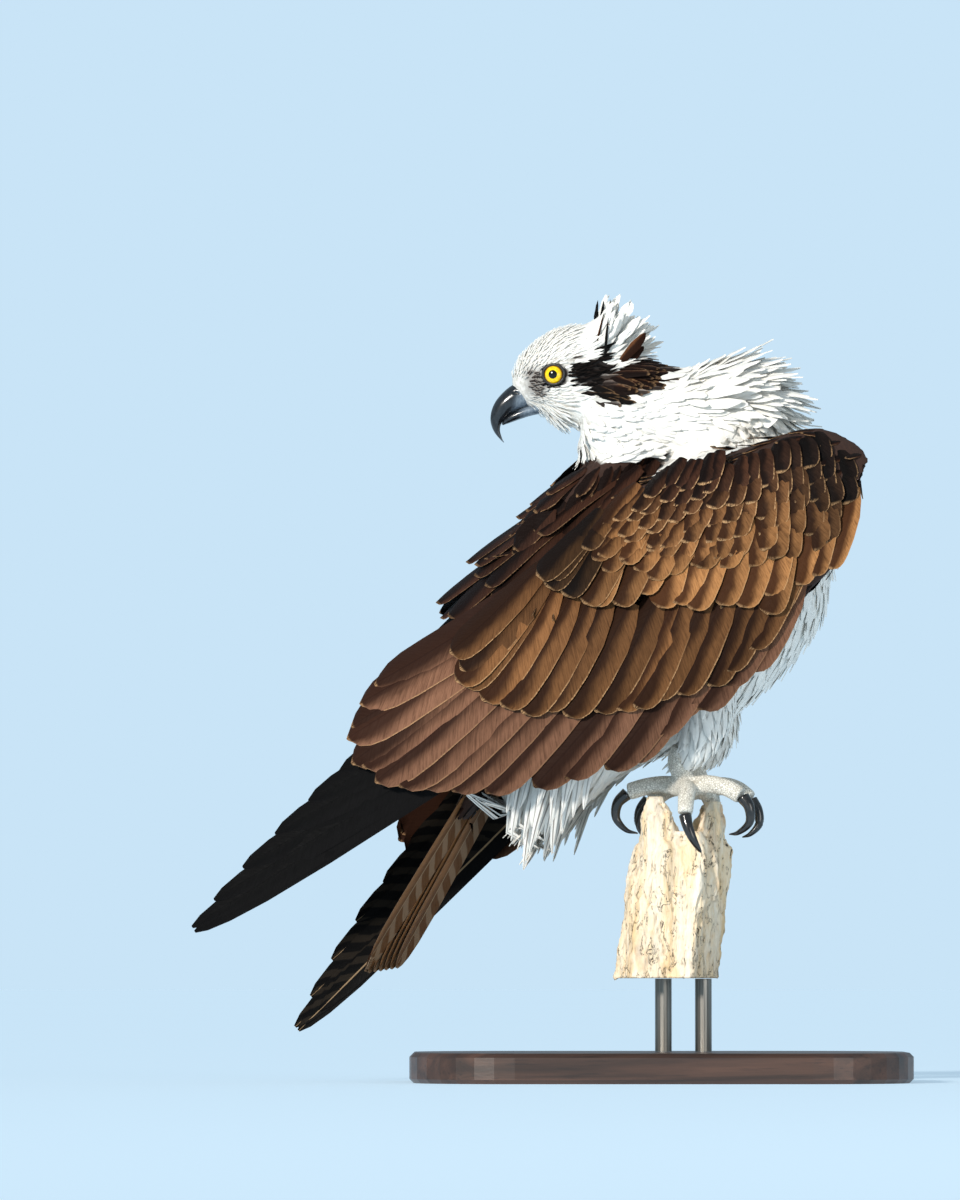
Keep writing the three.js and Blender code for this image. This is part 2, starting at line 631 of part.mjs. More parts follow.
// The perch: the splintered top of a dead trunk, cut flat below, with a notch between its two points.
const PERCH_STUB = [
  [4, 5, 56, 28, 34],
  [4, 5, 60, 31, 37],
  [7, 5, 92, 30, 36],
  [10, 5, 120, 29, 34],
  [13, 5, 140, 27, 32],
  [14, 5, 150, 19, 26],
];
const SPLINTERS = [
  [[0, -2, 110, 17, 20], [-1, -4, 140, 14, 19], [-2, -6, 160, 10, 17], [-3, -7, 171, 5, 12]],
  [[26, 0, 108, 11, 22], [29, -2, 136, 9.5, 20], [31, -3, 156, 8, 17], [32, -4, 168, 5, 12]],
  [[2, 26, 110, 16, 14], [1, 28, 140, 13, 12], [0, 29, 158, 9, 9], [-1, 29, 169, 4, 5]],
  [[26, 26, 108, 12, 13], [28, 28, 136, 9.5, 11], [29, 29, 156, 8, 8], [30, 29, 167, 4, 5]],
];

// Turns a round loft into split wood: each side of it is pulled in or out by a fixed share, like grain.
function grained(stations, around, along, phase) {
  const centre = new THREE.CatmullRomCurve3(stations.map((s) => vec(s[0], s[1], s[2])));
  const radii = new THREE.CatmullRomCurve3(stations.map((s) => vec(s[3], s[4], 0)));
  return gridSolid(around, along, (u, v) => {
    const t = THREE.MathUtils.clamp((v * along - 1) / (along - 2), 0, 1);
    const p = centre.getPoint(t);
    if (v === 0 || v === 1) return p;
    const radius = radii.getPoint(t);
    const angle = 2 * Math.PI * u;
    const grain = 1 + 0.09 * Math.sin(5 * angle + phase) + 0.06 * Math.sin(9 * angle - 2 * phase + 3 * t);
    return p.add(vec(Math.cos(angle) * radius.x * grain, Math.sin(angle) * radius.y * grain, 0));
  });
}

function perch() {
  const stub = grained(PERCH_STUB, 16, 7, 0.7);
  const splinters = SPLINTERS.map((stations, i) => grained(stations, 8, 5, 1.3 * i));
  const level = solidOf(new THREE.BoxGeometry(200, 200, 40).translate(8, 5, ROD.top + GAP - 20));
  return join([stub, ...splinters]).subtract(level);
}

// The display stand.
function base() {
  const { length, width, height, corner, bevel } = BASE;
  const [x, y, r] = [length / 2 - bevel, width / 2 - bevel, corner];
  const outline = new THREE.Shape();
  outline.moveTo(-x + r, -y);
  outline.lineTo(x - r, -y);
  outline.absarc(x - r, -y + r, r, -Math.PI / 2, 0);
  outline.absarc(x - r, y - r, r, 0, Math.PI / 2);
  outline.absarc(-x + r, y - r, r, Math.PI / 2, Math.PI);
  outline.absarc(-x + r, -y + r, r, Math.PI, 1.5 * Math.PI);
  return new THREE.ExtrudeGeometry(outline, {
    depth: height - 2 * bevel,
    bevelThickness: bevel,
    bevelSize: bevel,
    bevelSegments: 1,
    curveSegments: 4,
  }).translate(0, 0, bevel);
}

function rod([x, y]) {
  const length = ROD.top - BASE.height - GAP;
  const bar = new THREE.CylinderGeometry(ROD.radius, ROD.radius, length, 16);
  return bar.rotateX(Math.PI / 2).translate(x, y, BASE.height + GAP + length / 2);
}

// Materials, in the colours of the bird.
const paint = (color, roughness = 0.8) => new THREE.MeshStandardMaterial({ color, roughness, metalness: 0 });
const MATERIALS = {
  white: paint(0xf2efe8),
  brown: paint(0x4a382c),
  dark: paint(0x1f1a1a),
  bill: paint(0x23262c, 0.35),
  eye: paint(0xf0c414, 0.1),
  foot: paint(0xcfcdc2, 0.7),
  wood: paint(0xd9c29a, 0.9),
  stand: paint(0x3a2a20, 0.5),
  metal: new THREE.MeshStandardMaterial({ color: 0x6e6a62, roughness: 0.35, metalness: 1 }),
};

function meshOf(name, solid, material) {
  const made = solid.getMesh();
  const geometry = new THREE.BufferGeometry();
  geometry.setAttribute("position", new THREE.BufferAttribute(new Float32Array(made.vertProperties), 3));
  geometry.setIndex(new THREE.BufferAttribute(new Uint32Array(made.triVerts), 1));
  geometry.computeVertexNormals();
  const mesh = new THREE.Mesh(geometry, material);
  mesh.name = name;
  return mesh;
}

// Moves a solid out of the bird's frame, as its group does, so that the perch can be cut to fit under it.
const birdMatrix = new THREE.Matrix4()
  .makeRotationZ(BIRD_TURN)
  .setPosition(...BIRD_PLACE);
const headMatrix = new THREE.Matrix4()
  .makeRotationZ(THREE.MathUtils.degToRad(HEAD_PLACE.turn))
  .setPosition(HEAD_PLACE.x, HEAD_PLACE.y, HEAD_PLACE.z);
const moved = (solid, matrix) => solid.transform(matrix.toArray());

const part = new THREE.Group();
const bird = new THREE.Group();
bird.applyMatrix4(birdMatrix);
part.add(bird);
const addToBird = (name, solid, material) => bird.add(meshOf(name, solid, material));

// The head and what is set in it.
const [upperBill, lowerBill] = [bill(UPPER_BILL), bill(LOWER_BILL)];
const eyeBall = (side, grow = 0) => ball(EYE.x, side * EYE.y, EYE.z, EYE.radius + grow);
const upperPart = largest(upperBill.subtract(nostril(1)).subtract(nostril(-1)));
const lowerPart = largest(lowerBill.subtract(bill(UPPER_BILL, GAP)));
const headCore = (grow = 0) => loft(HEAD, [0, 1, 0], { around: 16, along: 10, grow });
let headPart = join([headCore(), eyelids(1), eyelids(-1), ...crest(), ...beard()]);
for (const cutter of [bill(UPPER_BILL, GAP), bill(LOWER_BILL, GAP), eyeBall(1, GAP), eyeBall(-1, GAP)]) {
  headPart = headPart.subtract(cutter);
}
headPart = largest(moved(headPart, headMatrix).subtract(mantle(GAP)));
addToBird("head", headPart, MATERIALS.white);
addToBird("bill_upper", moved(upperPart, headMatrix), MATERIALS.bill);
addToBird("bill_lower", moved(lowerPart, headMatrix), MATERIALS.bill);
addToBird("eye_left", moved(eyeBall(1), headMatrix), MATERIALS.eye);
addToBird("eye_right", moved(eyeBall(-1), headMatrix), MATERIALS.eye);

// The neck, the trunk and the tail.
const grownHead = moved(join([headCore(GAP), ...crest(GAP), ...beard(GAP)]), headMatrix);
const wings = { right: wing("right"), left: wing("left") };
const grownArms = Object.values(WINGS).map((folded) => arm(wingFrame(folded), GAP));
const neckCutters = [torso(GAP), grownHead, mantle(GAP), ...grownArms];
const neckPart = neckCutters.reduce((solid, cutter) => solid.subtract(cutter), join([neck(), ...ruff()]));
addToBird("neck", largest(neckPart), MATERIALS.white);
const grownTail = join([tailBlock(GAP), ...tailFeathers(GAP)]);
addToBird("tail", largest(join([tailBlock(), ...tailFeathers()])), MATERIALS.dark);
const torsoCutters = [grownTail, leg(1, GAP), leg(-1, GAP)];
const torsoPart = torsoCutters.reduce((solid, cutter) => solid.subtract(cutter), join([torso(), ...undertail()]));
addToBird("torso", largest(torsoPart), MATERIALS.white);
const mantlePart = largest(
  join([mantle(), ...shoulderFeathers(1), ...shoulderFeathers(-1)]).subtract(torso(GAP)),
);
addToBird("mantle", mantlePart, MATERIALS.brown);

// The wings and the legs.
for (const [name, { side }] of Object.entries(WINGS)) {
  addToBird(`wing_${name}_arm`, wings[name].arm, MATERIALS.brown);
  addToBird(`wing_${name}_hand`, wings[name].hand, MATERIALS.dark);
  const limb = FEET[name];
  const tufts = legTufts(side).map((tuft) => tuft.subtract(torso(GAP)));
  const legPart = largest(join([leg(side), ...tufts]).subtract(foot(limb, GAP)));
  addToBird(`leg_${name}`, legPart, MATERIALS.white);
  addToBird(`foot_${name}`, largest(foot(limb)), MATERIALS.foot);
  limb.talons.forEach((points, i) => {
    addToBird(`talon_${name}_${i + 1}`, largest(talon(points).subtract(foot(limb, GAP))), MATERIALS.bill);
  });
}

// The perch, cut to fit under the feet, and the stand.
const feet = ["right", "left"].flatMap((name) => [
  foot(FEET[name], GAP),
  ...FEET[name].talons.map((points) => talon(points, GAP)),
]);
const perchPart = largest(perch().subtract(moved(join(feet), birdMatrix)));
part.add(meshOf("perch", perchPart, MATERIALS.wood));
const baseMesh = new THREE.Mesh(base(), MATERIALS.stand);
baseMesh.name = "stand_base";
part.add(baseMesh);
ROD.places.forEach((place, i) => {
  const mesh = new THREE.Mesh(rod(place), MATERIALS.metal);
  mesh.name = `stand_rod_${i + 1}`;
  part.add(mesh);
});

export default part;
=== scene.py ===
import math

import bmesh
import bpy
import numpy as np
from mathutils import Matrix, Vector, noise
from mathutils.bvhtree import BVHTree


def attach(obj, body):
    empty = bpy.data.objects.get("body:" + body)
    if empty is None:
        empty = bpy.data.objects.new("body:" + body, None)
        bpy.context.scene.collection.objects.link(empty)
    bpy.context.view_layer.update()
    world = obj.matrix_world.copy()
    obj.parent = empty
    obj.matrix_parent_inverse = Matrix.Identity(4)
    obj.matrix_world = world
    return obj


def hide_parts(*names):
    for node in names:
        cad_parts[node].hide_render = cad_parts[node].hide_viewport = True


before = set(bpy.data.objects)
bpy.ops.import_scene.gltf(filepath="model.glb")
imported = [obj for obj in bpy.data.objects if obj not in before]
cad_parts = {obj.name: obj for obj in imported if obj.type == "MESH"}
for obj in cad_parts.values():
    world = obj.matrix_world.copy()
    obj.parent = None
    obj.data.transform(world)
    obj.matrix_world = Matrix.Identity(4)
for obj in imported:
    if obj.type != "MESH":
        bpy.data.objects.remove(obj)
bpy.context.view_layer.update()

# An osprey on the broken top of a dead tree, looking back over its tail. Lengths are in millimetres in
# the bird's own frame, x forward, y to its left and z up, and become metres as each mesh is made.
MM = 0.001
BIRD_TURN = math.radians(-12)
BIRD_PLACE = np.array([15.0, 5.0, 0.0])
HEAD_TURN = math.radians(192)
HEAD_PLACE = np.array([-66.0, -15.0, 424.0])
COAT_DEPTH = 1.6
COAT_REACH = 94
SMALL_FEATHER = 16
ROOT_JITTER, CELL = 1.5, 3.0
EYE = {"x": 10.5, "y": 19.8, "z": -0.4, "radius": 7.0}
# How steeply the crest stands, in degrees, by how far back it is on the crown.
CREST_STAND = ([0, 8, 15, 22, 28, 34, 40], [14, 38, 62, 60, 42, 30, 15])
SKIN_VOXEL, FOOT_VOXEL, PERCH_VOXEL = 0.0028, 0.0009, 0.0011
SKIN_SHADOW = 0.85
LOFT_STEP, LEAST_RADIUS = 0.01, 0.2
chance = np.random.default_rng(11)

WINGS = {
    "right": {"side": -1, "wrist": (118, 74, 367), "pitch": 33.9, "length": 503, "below": 1.0},
    "left": {"side": 1, "wrist": (82, 74, 379), "pitch": 46.9, "length": 484, "below": 0.5},
}
TIP_INSET = 36
WING_CROWN = 15
BACK_WRAP, BACK_WIDTH = 46, 92
BELLY_WRAP, BELLY_WIDTH = 13, 72

# Stations of the flesh: x, y, z, half width, half height.
TORSO = [
    (-125, 0, 187, 20, 10), (-108, 0, 198, 30, 22), (-88, 0, 213, 42, 38), (-56, 0, 237, 54, 56),
    (-17, 0, 272, 62, 70), (16, 0, 313, 64, 75), (31, 0, 349, 57, 59), (37, 0, 378, 42, 42),
    (37, 0, 394, 16, 16),
]
NECK = [
    (38, 0, 352, 28, 28), (34, 0, 375, 36, 35), (20, -1, 391, 38, 36), (-1, -4, 396, 35, 29),
    (-22, -8, 401, 33, 32), (-42, -12, 404, 30, 37), (-56, -14, 408, 23, 29),
]
MANTLE = [
    (0, 0, 386, 26, 10), (-22, 0, 376, 40, 15), (-54, 0, 356, 44, 17), (-84, 0, 328, 40, 15),
    (-106, 0, 298, 28, 10), (-114, 0, 284, 12, 5),
]
THIGH = [
    (8, 30, 262, 22, 26), (16, 31, 238, 20, 23), (17, 30, 216, 15, 17), (11, 28, 200, 11, 12), (3, 26, 192, 7, 8),
]
LEFT_LEG_BACK = 8
HEAD = [
    (-38, 0, 4, 6, 8), (-33, 0, 4, 16, 18), (-20, 0, 3, 24, 27), (-4, 0, 1, 27, 31), (10, 0, -2, 25, 29),
    (21, 0, -5, 19, 23), (29, 0, -9, 12, 15), (34, 0, -12, 7, 8),
]
TAIL_ROOT = np.array([-112.0, 0.0, 200.0])
TAIL_BLOCK = [(-98, 0, 218, 16, 9), (-112, 0, 200, 20, 11), (-129, 0, 172, 20, 8), (-138, 0, 157, 15, 4.5)]
ARM_OUTLINE = [
    (-5, 6), (10, 34), (48, 48), (96, 66), (146, 76), (184, 66), (186, 34), (166, 6), (140, -18), (104, -33),
    (62, -32), (24, -20), (0, -7),
]
HAND_OUTLINE = [(22, -26), (50, -20), (100, -16), (146, -22), (136, -40), (92, -48), (44, -42)]
PRIMARY_TIPS = [(0.955, 0), (1, 2), (0.95, 10), (0.87, 19), (0.785, 26), (0.705, 31), (0.625, 30)]


# Points and directions.
def unit(v):
    v = np.asarray(v, float)
    return v / (np.linalg.norm(v, axis=-1, keepdims=True) + 1e-12)


def turned(p, angle, place):
    p = np.asarray(p, float)
    c, s = math.cos(angle), math.sin(angle)
    x, y, z = p[..., 0], p[..., 1], p[..., 2]
    return np.stack([c * x - s * y, s * x + c * y, z], -1) + place


def to_world(p):
    return turned(p, BIRD_TURN, BIRD_PLACE) * MM


def from_world(p):
    return turned(np.asarray(p, float) / MM - BIRD_PLACE, -BIRD_TURN, 0)


def from_head(p):
    return turned(p, HEAD_TURN, HEAD_PLACE)


def to_head(p):
    return turned(np.asarray(p, float) - HEAD_PLACE, -HEAD_TURN, 0)


def smooth(x, low, high):
    t = np.clip((np.asarray(x, float) - low) / (high - low), 0, 1)
    return t * t * (3 - 2 * t)


def mix(a, b, t):
    return a + (b - a) * t


def curve(points, t, closed=False):
    """Points on a smooth curve through the given ones, at t from 0 to 1."""
    p = np.asarray(points, float)
    n = len(p)
    t = np.clip(np.asarray(t, float), 0, 1)
    s = t * (n if closed else n - 1)
    i = np.minimum(np.floor(s).astype(int), (n if closed else n - 1) - 1)
    f = (s - i)[..., None]
    if closed:
        a, b, c, d = p[(i - 1) % n], p[i % n], p[(i + 1) % n], p[(i + 2) % n]
    else:
        b, c = p[i], p[i + 1]
        a = np.where((i > 0)[..., None], p[np.maximum(i - 1, 0)], 2 * b - c)
        d = np.where((i < n - 2)[..., None], p[np.minimum(i + 2, n - 1)], 2 * c - b)
    return 0.5 * (2 * b + (c - a) * f + (2 * a - 5 * b + 4 * c - d) * f**2 + (3 * b - a - 3 * c + d) * f**3)


def loft_at(stations, t, angle, side=(0, 1, 0)):
    """Surface points of a body lofted through stations, at t along it and at angle round it."""
    t = np.asarray(t, float)
    row = curve(stations, t)
    after = curve(stations, np.minimum(t + LOFT_STEP, 1))
    before = curve(stations, np.maximum(t - LOFT_STEP, 0))
    ahead = unit(after[..., :3] - before[..., :3])
    up = unit(np.cross(ahead, np.broadcast_to(unit(side), ahead.shape)))
    across = unit(np.cross(up, ahead))
    wide = np.maximum(row[..., 3], LEAST_RADIUS) * np.cos(angle)
    high = np.maximum(row[..., -1], LEAST_RADIUS) * np.sin(angle)
    return row[..., :3] + across * wide[..., None] + up * high[..., None]


# The folded wing's surface: a from the wrist towards the tip, b up across it.
class Wing:
    def __init__(self, name, side, wrist, pitch, length, below):
        self.name, self.side, self.length, self.below = name, side, length, below
        down = math.radians(pitch)
        run = math.sqrt(length**2 - TIP_INSET**2)
        self.wrist = np.array([wrist[0], side * wrist[1], wrist[2]], float)
        self.along = unit([-math.cos(down) * run, -side * TIP_INSET, -math.sin(down) * run])
        self.up = np.array([-math.sin(down), 0, math.cos(down)])
        out = -unit(np.cross(self.along, self.up))
        self.out = out if out[1] * side > 0 else -out

    def bulge(self, a, b):
        t = np.clip(a / self.length, 0, 1)
        crown = WING_CROWN * np.sin(np.pi * np.minimum(1, 1.15 * t + 0.05)) ** 0.8
        fade = 1 - 0.8 * smooth(a, 230, 480)
        wrap = np.where(b > 0, BACK_WRAP * (b / BACK_WIDTH) ** 2, BELLY_WRAP * (b / BELLY_WIDTH) ** 2)
        lead = 20 * np.maximum(0, 1 - (a + 12) / 60) ** 2
        return crown - wrap * fade - lead

    def at(self, a, b, layer=0.0):
        a, b = np.asarray(a, float), np.asarray(b, float)
        height = np.where(b < 0, b * self.below, b)
        rise = self.bulge(a, b) + layer
        return self.wrist + self.along * a[..., None] + self.up * height[..., None] + self.out * rise[..., None]

    def normal(self, a, b):
        a, b = np.asarray(a, float), np.asarray(b, float)
        n = unit(np.cross(self.at(a + 2, b) - self.at(a - 2, b), self.at(a, b + 2) - self.at(a, b - 2)))
        return n * np.where((n @ self.out) < 0, -1.0, 1.0)[..., None]


wings = {name: Wing(name, **size) for name, size in WINGS.items()}


def pillow(wing, outline, outer, inner, u, v):
    """Surface points of a pillow of flesh on the wing, inside an outline, between two layers."""
    edge = curve(outline, u, closed=True)
    middle = np.mean(np.asarray(outline, float), 0)
    radial = np.sin(np.pi * v) ** 0.7
    spot = middle + (edge - middle) * radial[..., None]
    a, b = spot[..., 0], spot[..., 1]
    depth = (1 - np.cos(np.pi * v)) / 2
    return wing.at(a, b, mix(outer(a, b), inner(a, b), depth))


def arm_outer(a, b):
    return 6.5 - 5 * smooth(a, 110, 190) - 2 * smooth(-b, 20, 50)


def arm_inner(a, b):
    return mix(-2.4, mix(-24, -44, smooth(a, 20, 70)), smooth(b, -14, 8))


def hand_outer(a, b):
    return -5 + 1.5 * smooth(a, 120, 20)


def hand_inner(a, b):
    return -24 + 0 * a


# Meshes.
def fresh_start():
    if bpy.context.object and bpy.context.object.mode != "OBJECT":
        bpy.ops.object.mode_set(mode="OBJECT")
    bpy.ops.object.select_all(action="DESELECT")


def choose(obj):
    fresh_start()
    obj.select_set(True)
    bpy.context.view_layer.objects.active = obj


def new_object(name):
    """The object that the last operator made, under its own name."""
    obj = bpy.context.object
    obj.name = name
    obj.data.name = name
    return obj


def numbers(items, key):
    """What each of the mesh's items holds under key, three numbers each."""
    values = np.empty(len(items) * 3, np.float32)
    items.foreach_get(key, values)
    return values.reshape(-1, 3)


def points_of(obj):
    return numbers(obj.data.vertices, "co").astype(float)


def set_points(obj, co):
    obj.data.vertices.foreach_set("co", np.asarray(co, np.float32).ravel())
    obj.data.update()


def mark_points(mesh, name, values):
    """Keeps one number or one colour for each point, for the materials to read."""
    values = np.asarray(values, np.float32)
    if values.ndim == 1:
        mesh.attributes.new(name, "FLOAT", "POINT").data.foreach_set("value", values)
        return
    colours = np.column_stack([values, np.ones(len(values), np.float32)])
    mesh.attributes.new(name, "FLOAT_COLOR", "POINT").data.foreach_set("color", colours.ravel())


def face_out(obj):
    choose(obj)
    bpy.ops.object.mode_set(mode="EDIT")
    bpy.ops.mesh.select_all(action="SELECT")
    bpy.ops.mesh.remove_doubles(threshold=1e-6)
    bpy.ops.mesh.normals_make_consistent(inside=False)
    bpy.ops.object.mode_set(mode="OBJECT")


def apply_modifiers(obj):
    choose(obj)
    for modifier in list(obj.modifiers):
        bpy.ops.object.modifier_apply(modifier=modifier.name)


def shaped_ball(name, place, around=28, rings=20):
    """A ball pulled to a new shape: place gives each point from its share round and its share along."""
    fresh_start()
    bpy.ops.mesh.primitive_uv_sphere_add(segments=around, ring_count=rings, radius=1)
    obj = new_object(name)
    co = points_of(obj)
    u = (np.arctan2(co[:, 1], co[:, 0]) / (2 * math.pi)) % 1
    v = np.arccos(np.clip(co[:, 2], -1, 1)) / math.pi
    set_points(obj, place(u, v))
    face_out(obj)
    return obj


def lofted(name, stations, side=(0, 1, 0), around=28, rings=20, move=to_world):
    def place(u, v):
        t = np.clip((v * rings - 1) / (rings - 2), 0, 1)
        p = loft_at(stations, t, 2 * np.pi * u, side)
        ends = (v < 1e-4) | (v > 1 - 1e-4)
        p = np.where(ends[:, None], curve(stations, t)[:, :3], p)
        return move(p)

    return shaped_ball(name, place, around, rings)


def joined(name, pieces):
    fresh_start()
    for piece in pieces:
        piece.select_set(True)
    bpy.context.view_layer.objects.active = pieces[0]
    bpy.ops.object.join()
    return new_object(name)


def remeshed(obj, voxel, smoothing=0):
    cells = obj.modifiers.new("one_skin", "REMESH")
    cells.mode = "VOXEL"
    cells.voxel_size = voxel
    if smoothing:
        relax = obj.modifiers.new("relax", "SMOOTH")
        relax.factor = 0.5
        relax.iterations = smoothing
    apply_modifiers(obj)
    return obj


def coated(obj, material):
    obj.data.materials.clear()
    obj.data.materials.append(material)


def finished(obj, material, replaced=()):
    coated(obj, material)
    choose(obj)
    bpy.ops.object.shade_smooth()
    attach(obj, "root")
    if replaced:
        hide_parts(*replaced)
    return obj


# Feathers. One blank is modelled for each kind, narrowed row by row, and then copied along its own line.
def feather_blank(name, outline, columns, camber, notch=0.0):
    """outline gives each row's place from root to tip and its share of the width."""
    fresh_start()
    rows = len(outline) - 1
    bpy.ops.mesh.primitive_grid_add(x_subdivisions=columns, y_subdivisions=rows, size=1, location=(0, 0.5, 0))
    obj = new_object(name)
    bpy.ops.object.transform_apply(location=True, rotation=True, scale=True)
    bpy.ops.object.mode_set(mode="EDIT")
    bpy.ops.mesh.select_mode(type="VERT")
    mesh = bmesh.from_edit_mesh(obj.data)
    for i, (place, width) in enumerate(outline):
        bpy.ops.mesh.select_all(action="DESELECT")
        for vertex in mesh.verts:
            vertex.select = abs(vertex.co.y - i / rows) < 1e-4
        mesh.select_flush_mode()
        bmesh.update_edit_mesh(obj.data)
        bpy.ops.transform.resize(value=(width, 1, 1), center_override=(0, i / rows, 0))
    bpy.ops.object.mode_set(mode="OBJECT")
    co = points_of(obj)
    ahead = co[:, 1].copy()
    across = co[:, 0] * 2
    share = np.zeros(len(co))
    for i, (place, width) in enumerate(outline):
        row = np.abs(co[:, 1] - i / rows) < 1e-4
        share[row] = across[row] / max(width, 1e-6)
        ahead[row] = place
    tip_back = -notch * share**2 * smooth(ahead, 0.6, 1)
    faces = np.array([tuple(p.vertices) for p in obj.data.polygons])
    bpy.data.objects.remove(obj, do_unlink=True)
    return {
        "t": ahead, "t_shape": ahead + tip_back, "s": across, "share": share, "bow": camber * (1 - share**2),
        "faces": faces,
    }


BLANKS = {
    "flight": feather_blank("flight", [
        (0, 0.5), (0.12, 0.85), (0.3, 1), (0.55, 1), (0.75, 0.97), (0.87, 0.86), (0.94, 0.66), (0.98, 0.4),
        (1, 0.1),
    ], 4, 0.1),
    "broad": feather_blank("broad", [
        (0, 0.5), (0.15, 0.8), (0.35, 0.98), (0.6, 1), (0.78, 0.99), (0.88, 0.92), (0.94, 0.76), (0.98, 0.5),
        (1, 0.16),
    ], 4, 0.17, 0.01),
    "scale": feather_blank("scale", [
        (0, 0.55), (0.25, 0.9), (0.55, 1), (0.76, 0.96), (0.89, 0.78), (0.97, 0.46), (1, 0.14),
    ], 4, 0.24, 0.02),
    "pointed": feather_blank("pointed", [
        (0, 0.45), (0.15, 0.8), (0.38, 1), (0.6, 0.96), (0.78, 0.8), (0.9, 0.56), (0.97, 0.3), (1, 0.08),
    ], 4, 0.18),
    "wisp": feather_blank("wisp", [
        (0, 0.6), (0.25, 1), (0.5, 0.9), (0.75, 0.6), (0.92, 0.26), (1, 0.04),
    ], 2, 0.3),
}
# Each region's rectangle on the OFBake map, left, bottom, width and height, and a feather's patch there.
BAKE_ATLAS = {
    "torso": (0.01, 0.01, 0.3, 0.3), "neck": (0.34, 0.01, 0.3, 0.2), "head": (0.67, 0.01, 0.3, 0.3),
    "mantle": (0.34, 0.24, 0.3, 0.1), "tail": (0.34, 0.37, 0.3, 0.12),
    "leg_right": (0.01, 0.34, 0.14, 0.14), "leg_left": (0.17, 0.34, 0.14, 0.14),
    "wing_right": (0.01, 0.52, 0.97, 0.22), "wing_left": (0.01, 0.76, 0.97, 0.22),
}
PATCH = 0.003


def each(value, n):
    """One number for each of n feathers, from one for all or from one each."""
    return np.broadcast_to(np.asarray(value, float), (n,))


class Feathers:
    """Collects feathers as arrays, and makes one mesh of them."""

    def __init__(self):
        self.parts = []

    def add(self, blank, centre, normal, half, shade, region, place, lean=0.0, ragged=0.0, flip=1, **look):
        """centre(n, m, 3) is each feather's line from root to tip, and normal(n, m, 3) is its upper side."""
        kind = BLANKS[blank]
        n = len(centre)
        if n == 0:
            return
        t = np.clip(kind["t_shape"], 0, 1)
        steps = centre.shape[1] - 1
        i = np.minimum((t * steps).astype(int), steps - 1)
        f = (t * steps - i)[None, :, None]
        line = centre[:, i] * (1 - f) + centre[:, i + 1] * f
        ahead = unit(centre[:, i + 1] - centre[:, i])
        up = unit(normal[:, i] * (1 - f) + normal[:, i + 1] * f)
        across = unit(np.cross(up, ahead))
        up = unit(np.cross(ahead, across))
        half = each(half, n)
        tilt = each(lean, n)[:, None, None]
        flat, face = across * np.cos(tilt) - up * np.sin(tilt), up * np.cos(tilt) + across * np.sin(tilt)
        rim = (np.abs(kind["share"]) > 0.9)[None, :, None]
        wobble = 1 + ragged * chance.uniform(-1, 1, (n, len(t), 1)) * rim
        points = line + flat * (kind["s"][None, :, None] * half[:, None, None] * wobble)
        points = points + face * (kind["bow"][None, :, None] * half[:, None, None])
        x, y, w, h = BAKE_ATLAS[region]
        place = np.clip(np.asarray(place, float), 0, 1)
        spot = np.stack([x + place[:, 0] * w, y + place[:, 1] * h], -1)
        patch = np.stack([kind["share"] * 0.5, kind["t"] - 0.5], -1) * PATCH
        marks = {
            "shade": np.broadcast_to(np.asarray(shade, float), (n, 3)),
            "edge": each(look.get("edge", 0.0), n),
            "bars": each(look.get("bars", 0.0), n),
            "number": chance.uniform(0, 100, n),
            "size": np.linalg.norm(centre[:, -1] - centre[:, 0], axis=-1),
            "width": half,
        }
        self.parts.append({
            "points": to_world(points).reshape(-1, 3),
            "faces": (kind["faces"][None] + (np.arange(n) * len(t))[:, None, None]).reshape(-1, 4),
            "OFBake": (spot[:, None] + patch[None]).reshape(-1, 2),
            "Vane": np.tile(np.stack([flip * kind["share"] * 0.5 + 0.5, kind["t"]], -1), (n, 1)),
            **{key: np.repeat(values, len(t), 0) for key, values in marks.items()},
        })

    def made(self, name, material, slot, replaced=()):
        starts = np.cumsum([0] + [len(part["points"]) for part in self.parts])
        faces = np.concatenate([part["faces"] + start for part, start in zip(self.parts, starts)])
        every = {key: np.concatenate([part[key] for part in self.parts]) for key in self.parts[0]}
        mesh = bpy.data.meshes.new(name)
        mesh.from_pydata(every["points"].tolist(), [], faces.tolist())
        loops = np.empty(len(mesh.loops), np.int32)
        mesh.loops.foreach_get("vertex_index", loops)
        for layer in ("OFBake", "Vane"):
            uv = mesh.uv_layers.new(name=layer)
            uv.data.foreach_set("uv", every[layer][loops].astype(np.float32).ravel())
        for key in ("shade", "edge", "bars", "number", "size", "width"):
            mark_points(mesh, key, every[key])
        mesh.validate()
        obj = bpy.data.objects.new(name, mesh)
        bpy.context.scene.collection.objects.link(obj)
        return finished(obj, material, replaced)


# Materials.
class Value:
    """A number inside a material. A sum, difference or product of it adds the node that works it out."""

    def __init__(self, paint, socket):
        self.paint, self.socket = paint, socket

    def __add__(self, other):
        return self.paint.math("ADD", self, other)

    def __sub__(self, other):
        return self.paint.math("SUBTRACT", self, other)

    def __rsub__(self, other):
        return self.paint.math("SUBTRACT", other, self)

    def __mul__(self, other):
        return self.paint.math("MULTIPLY", self, other)


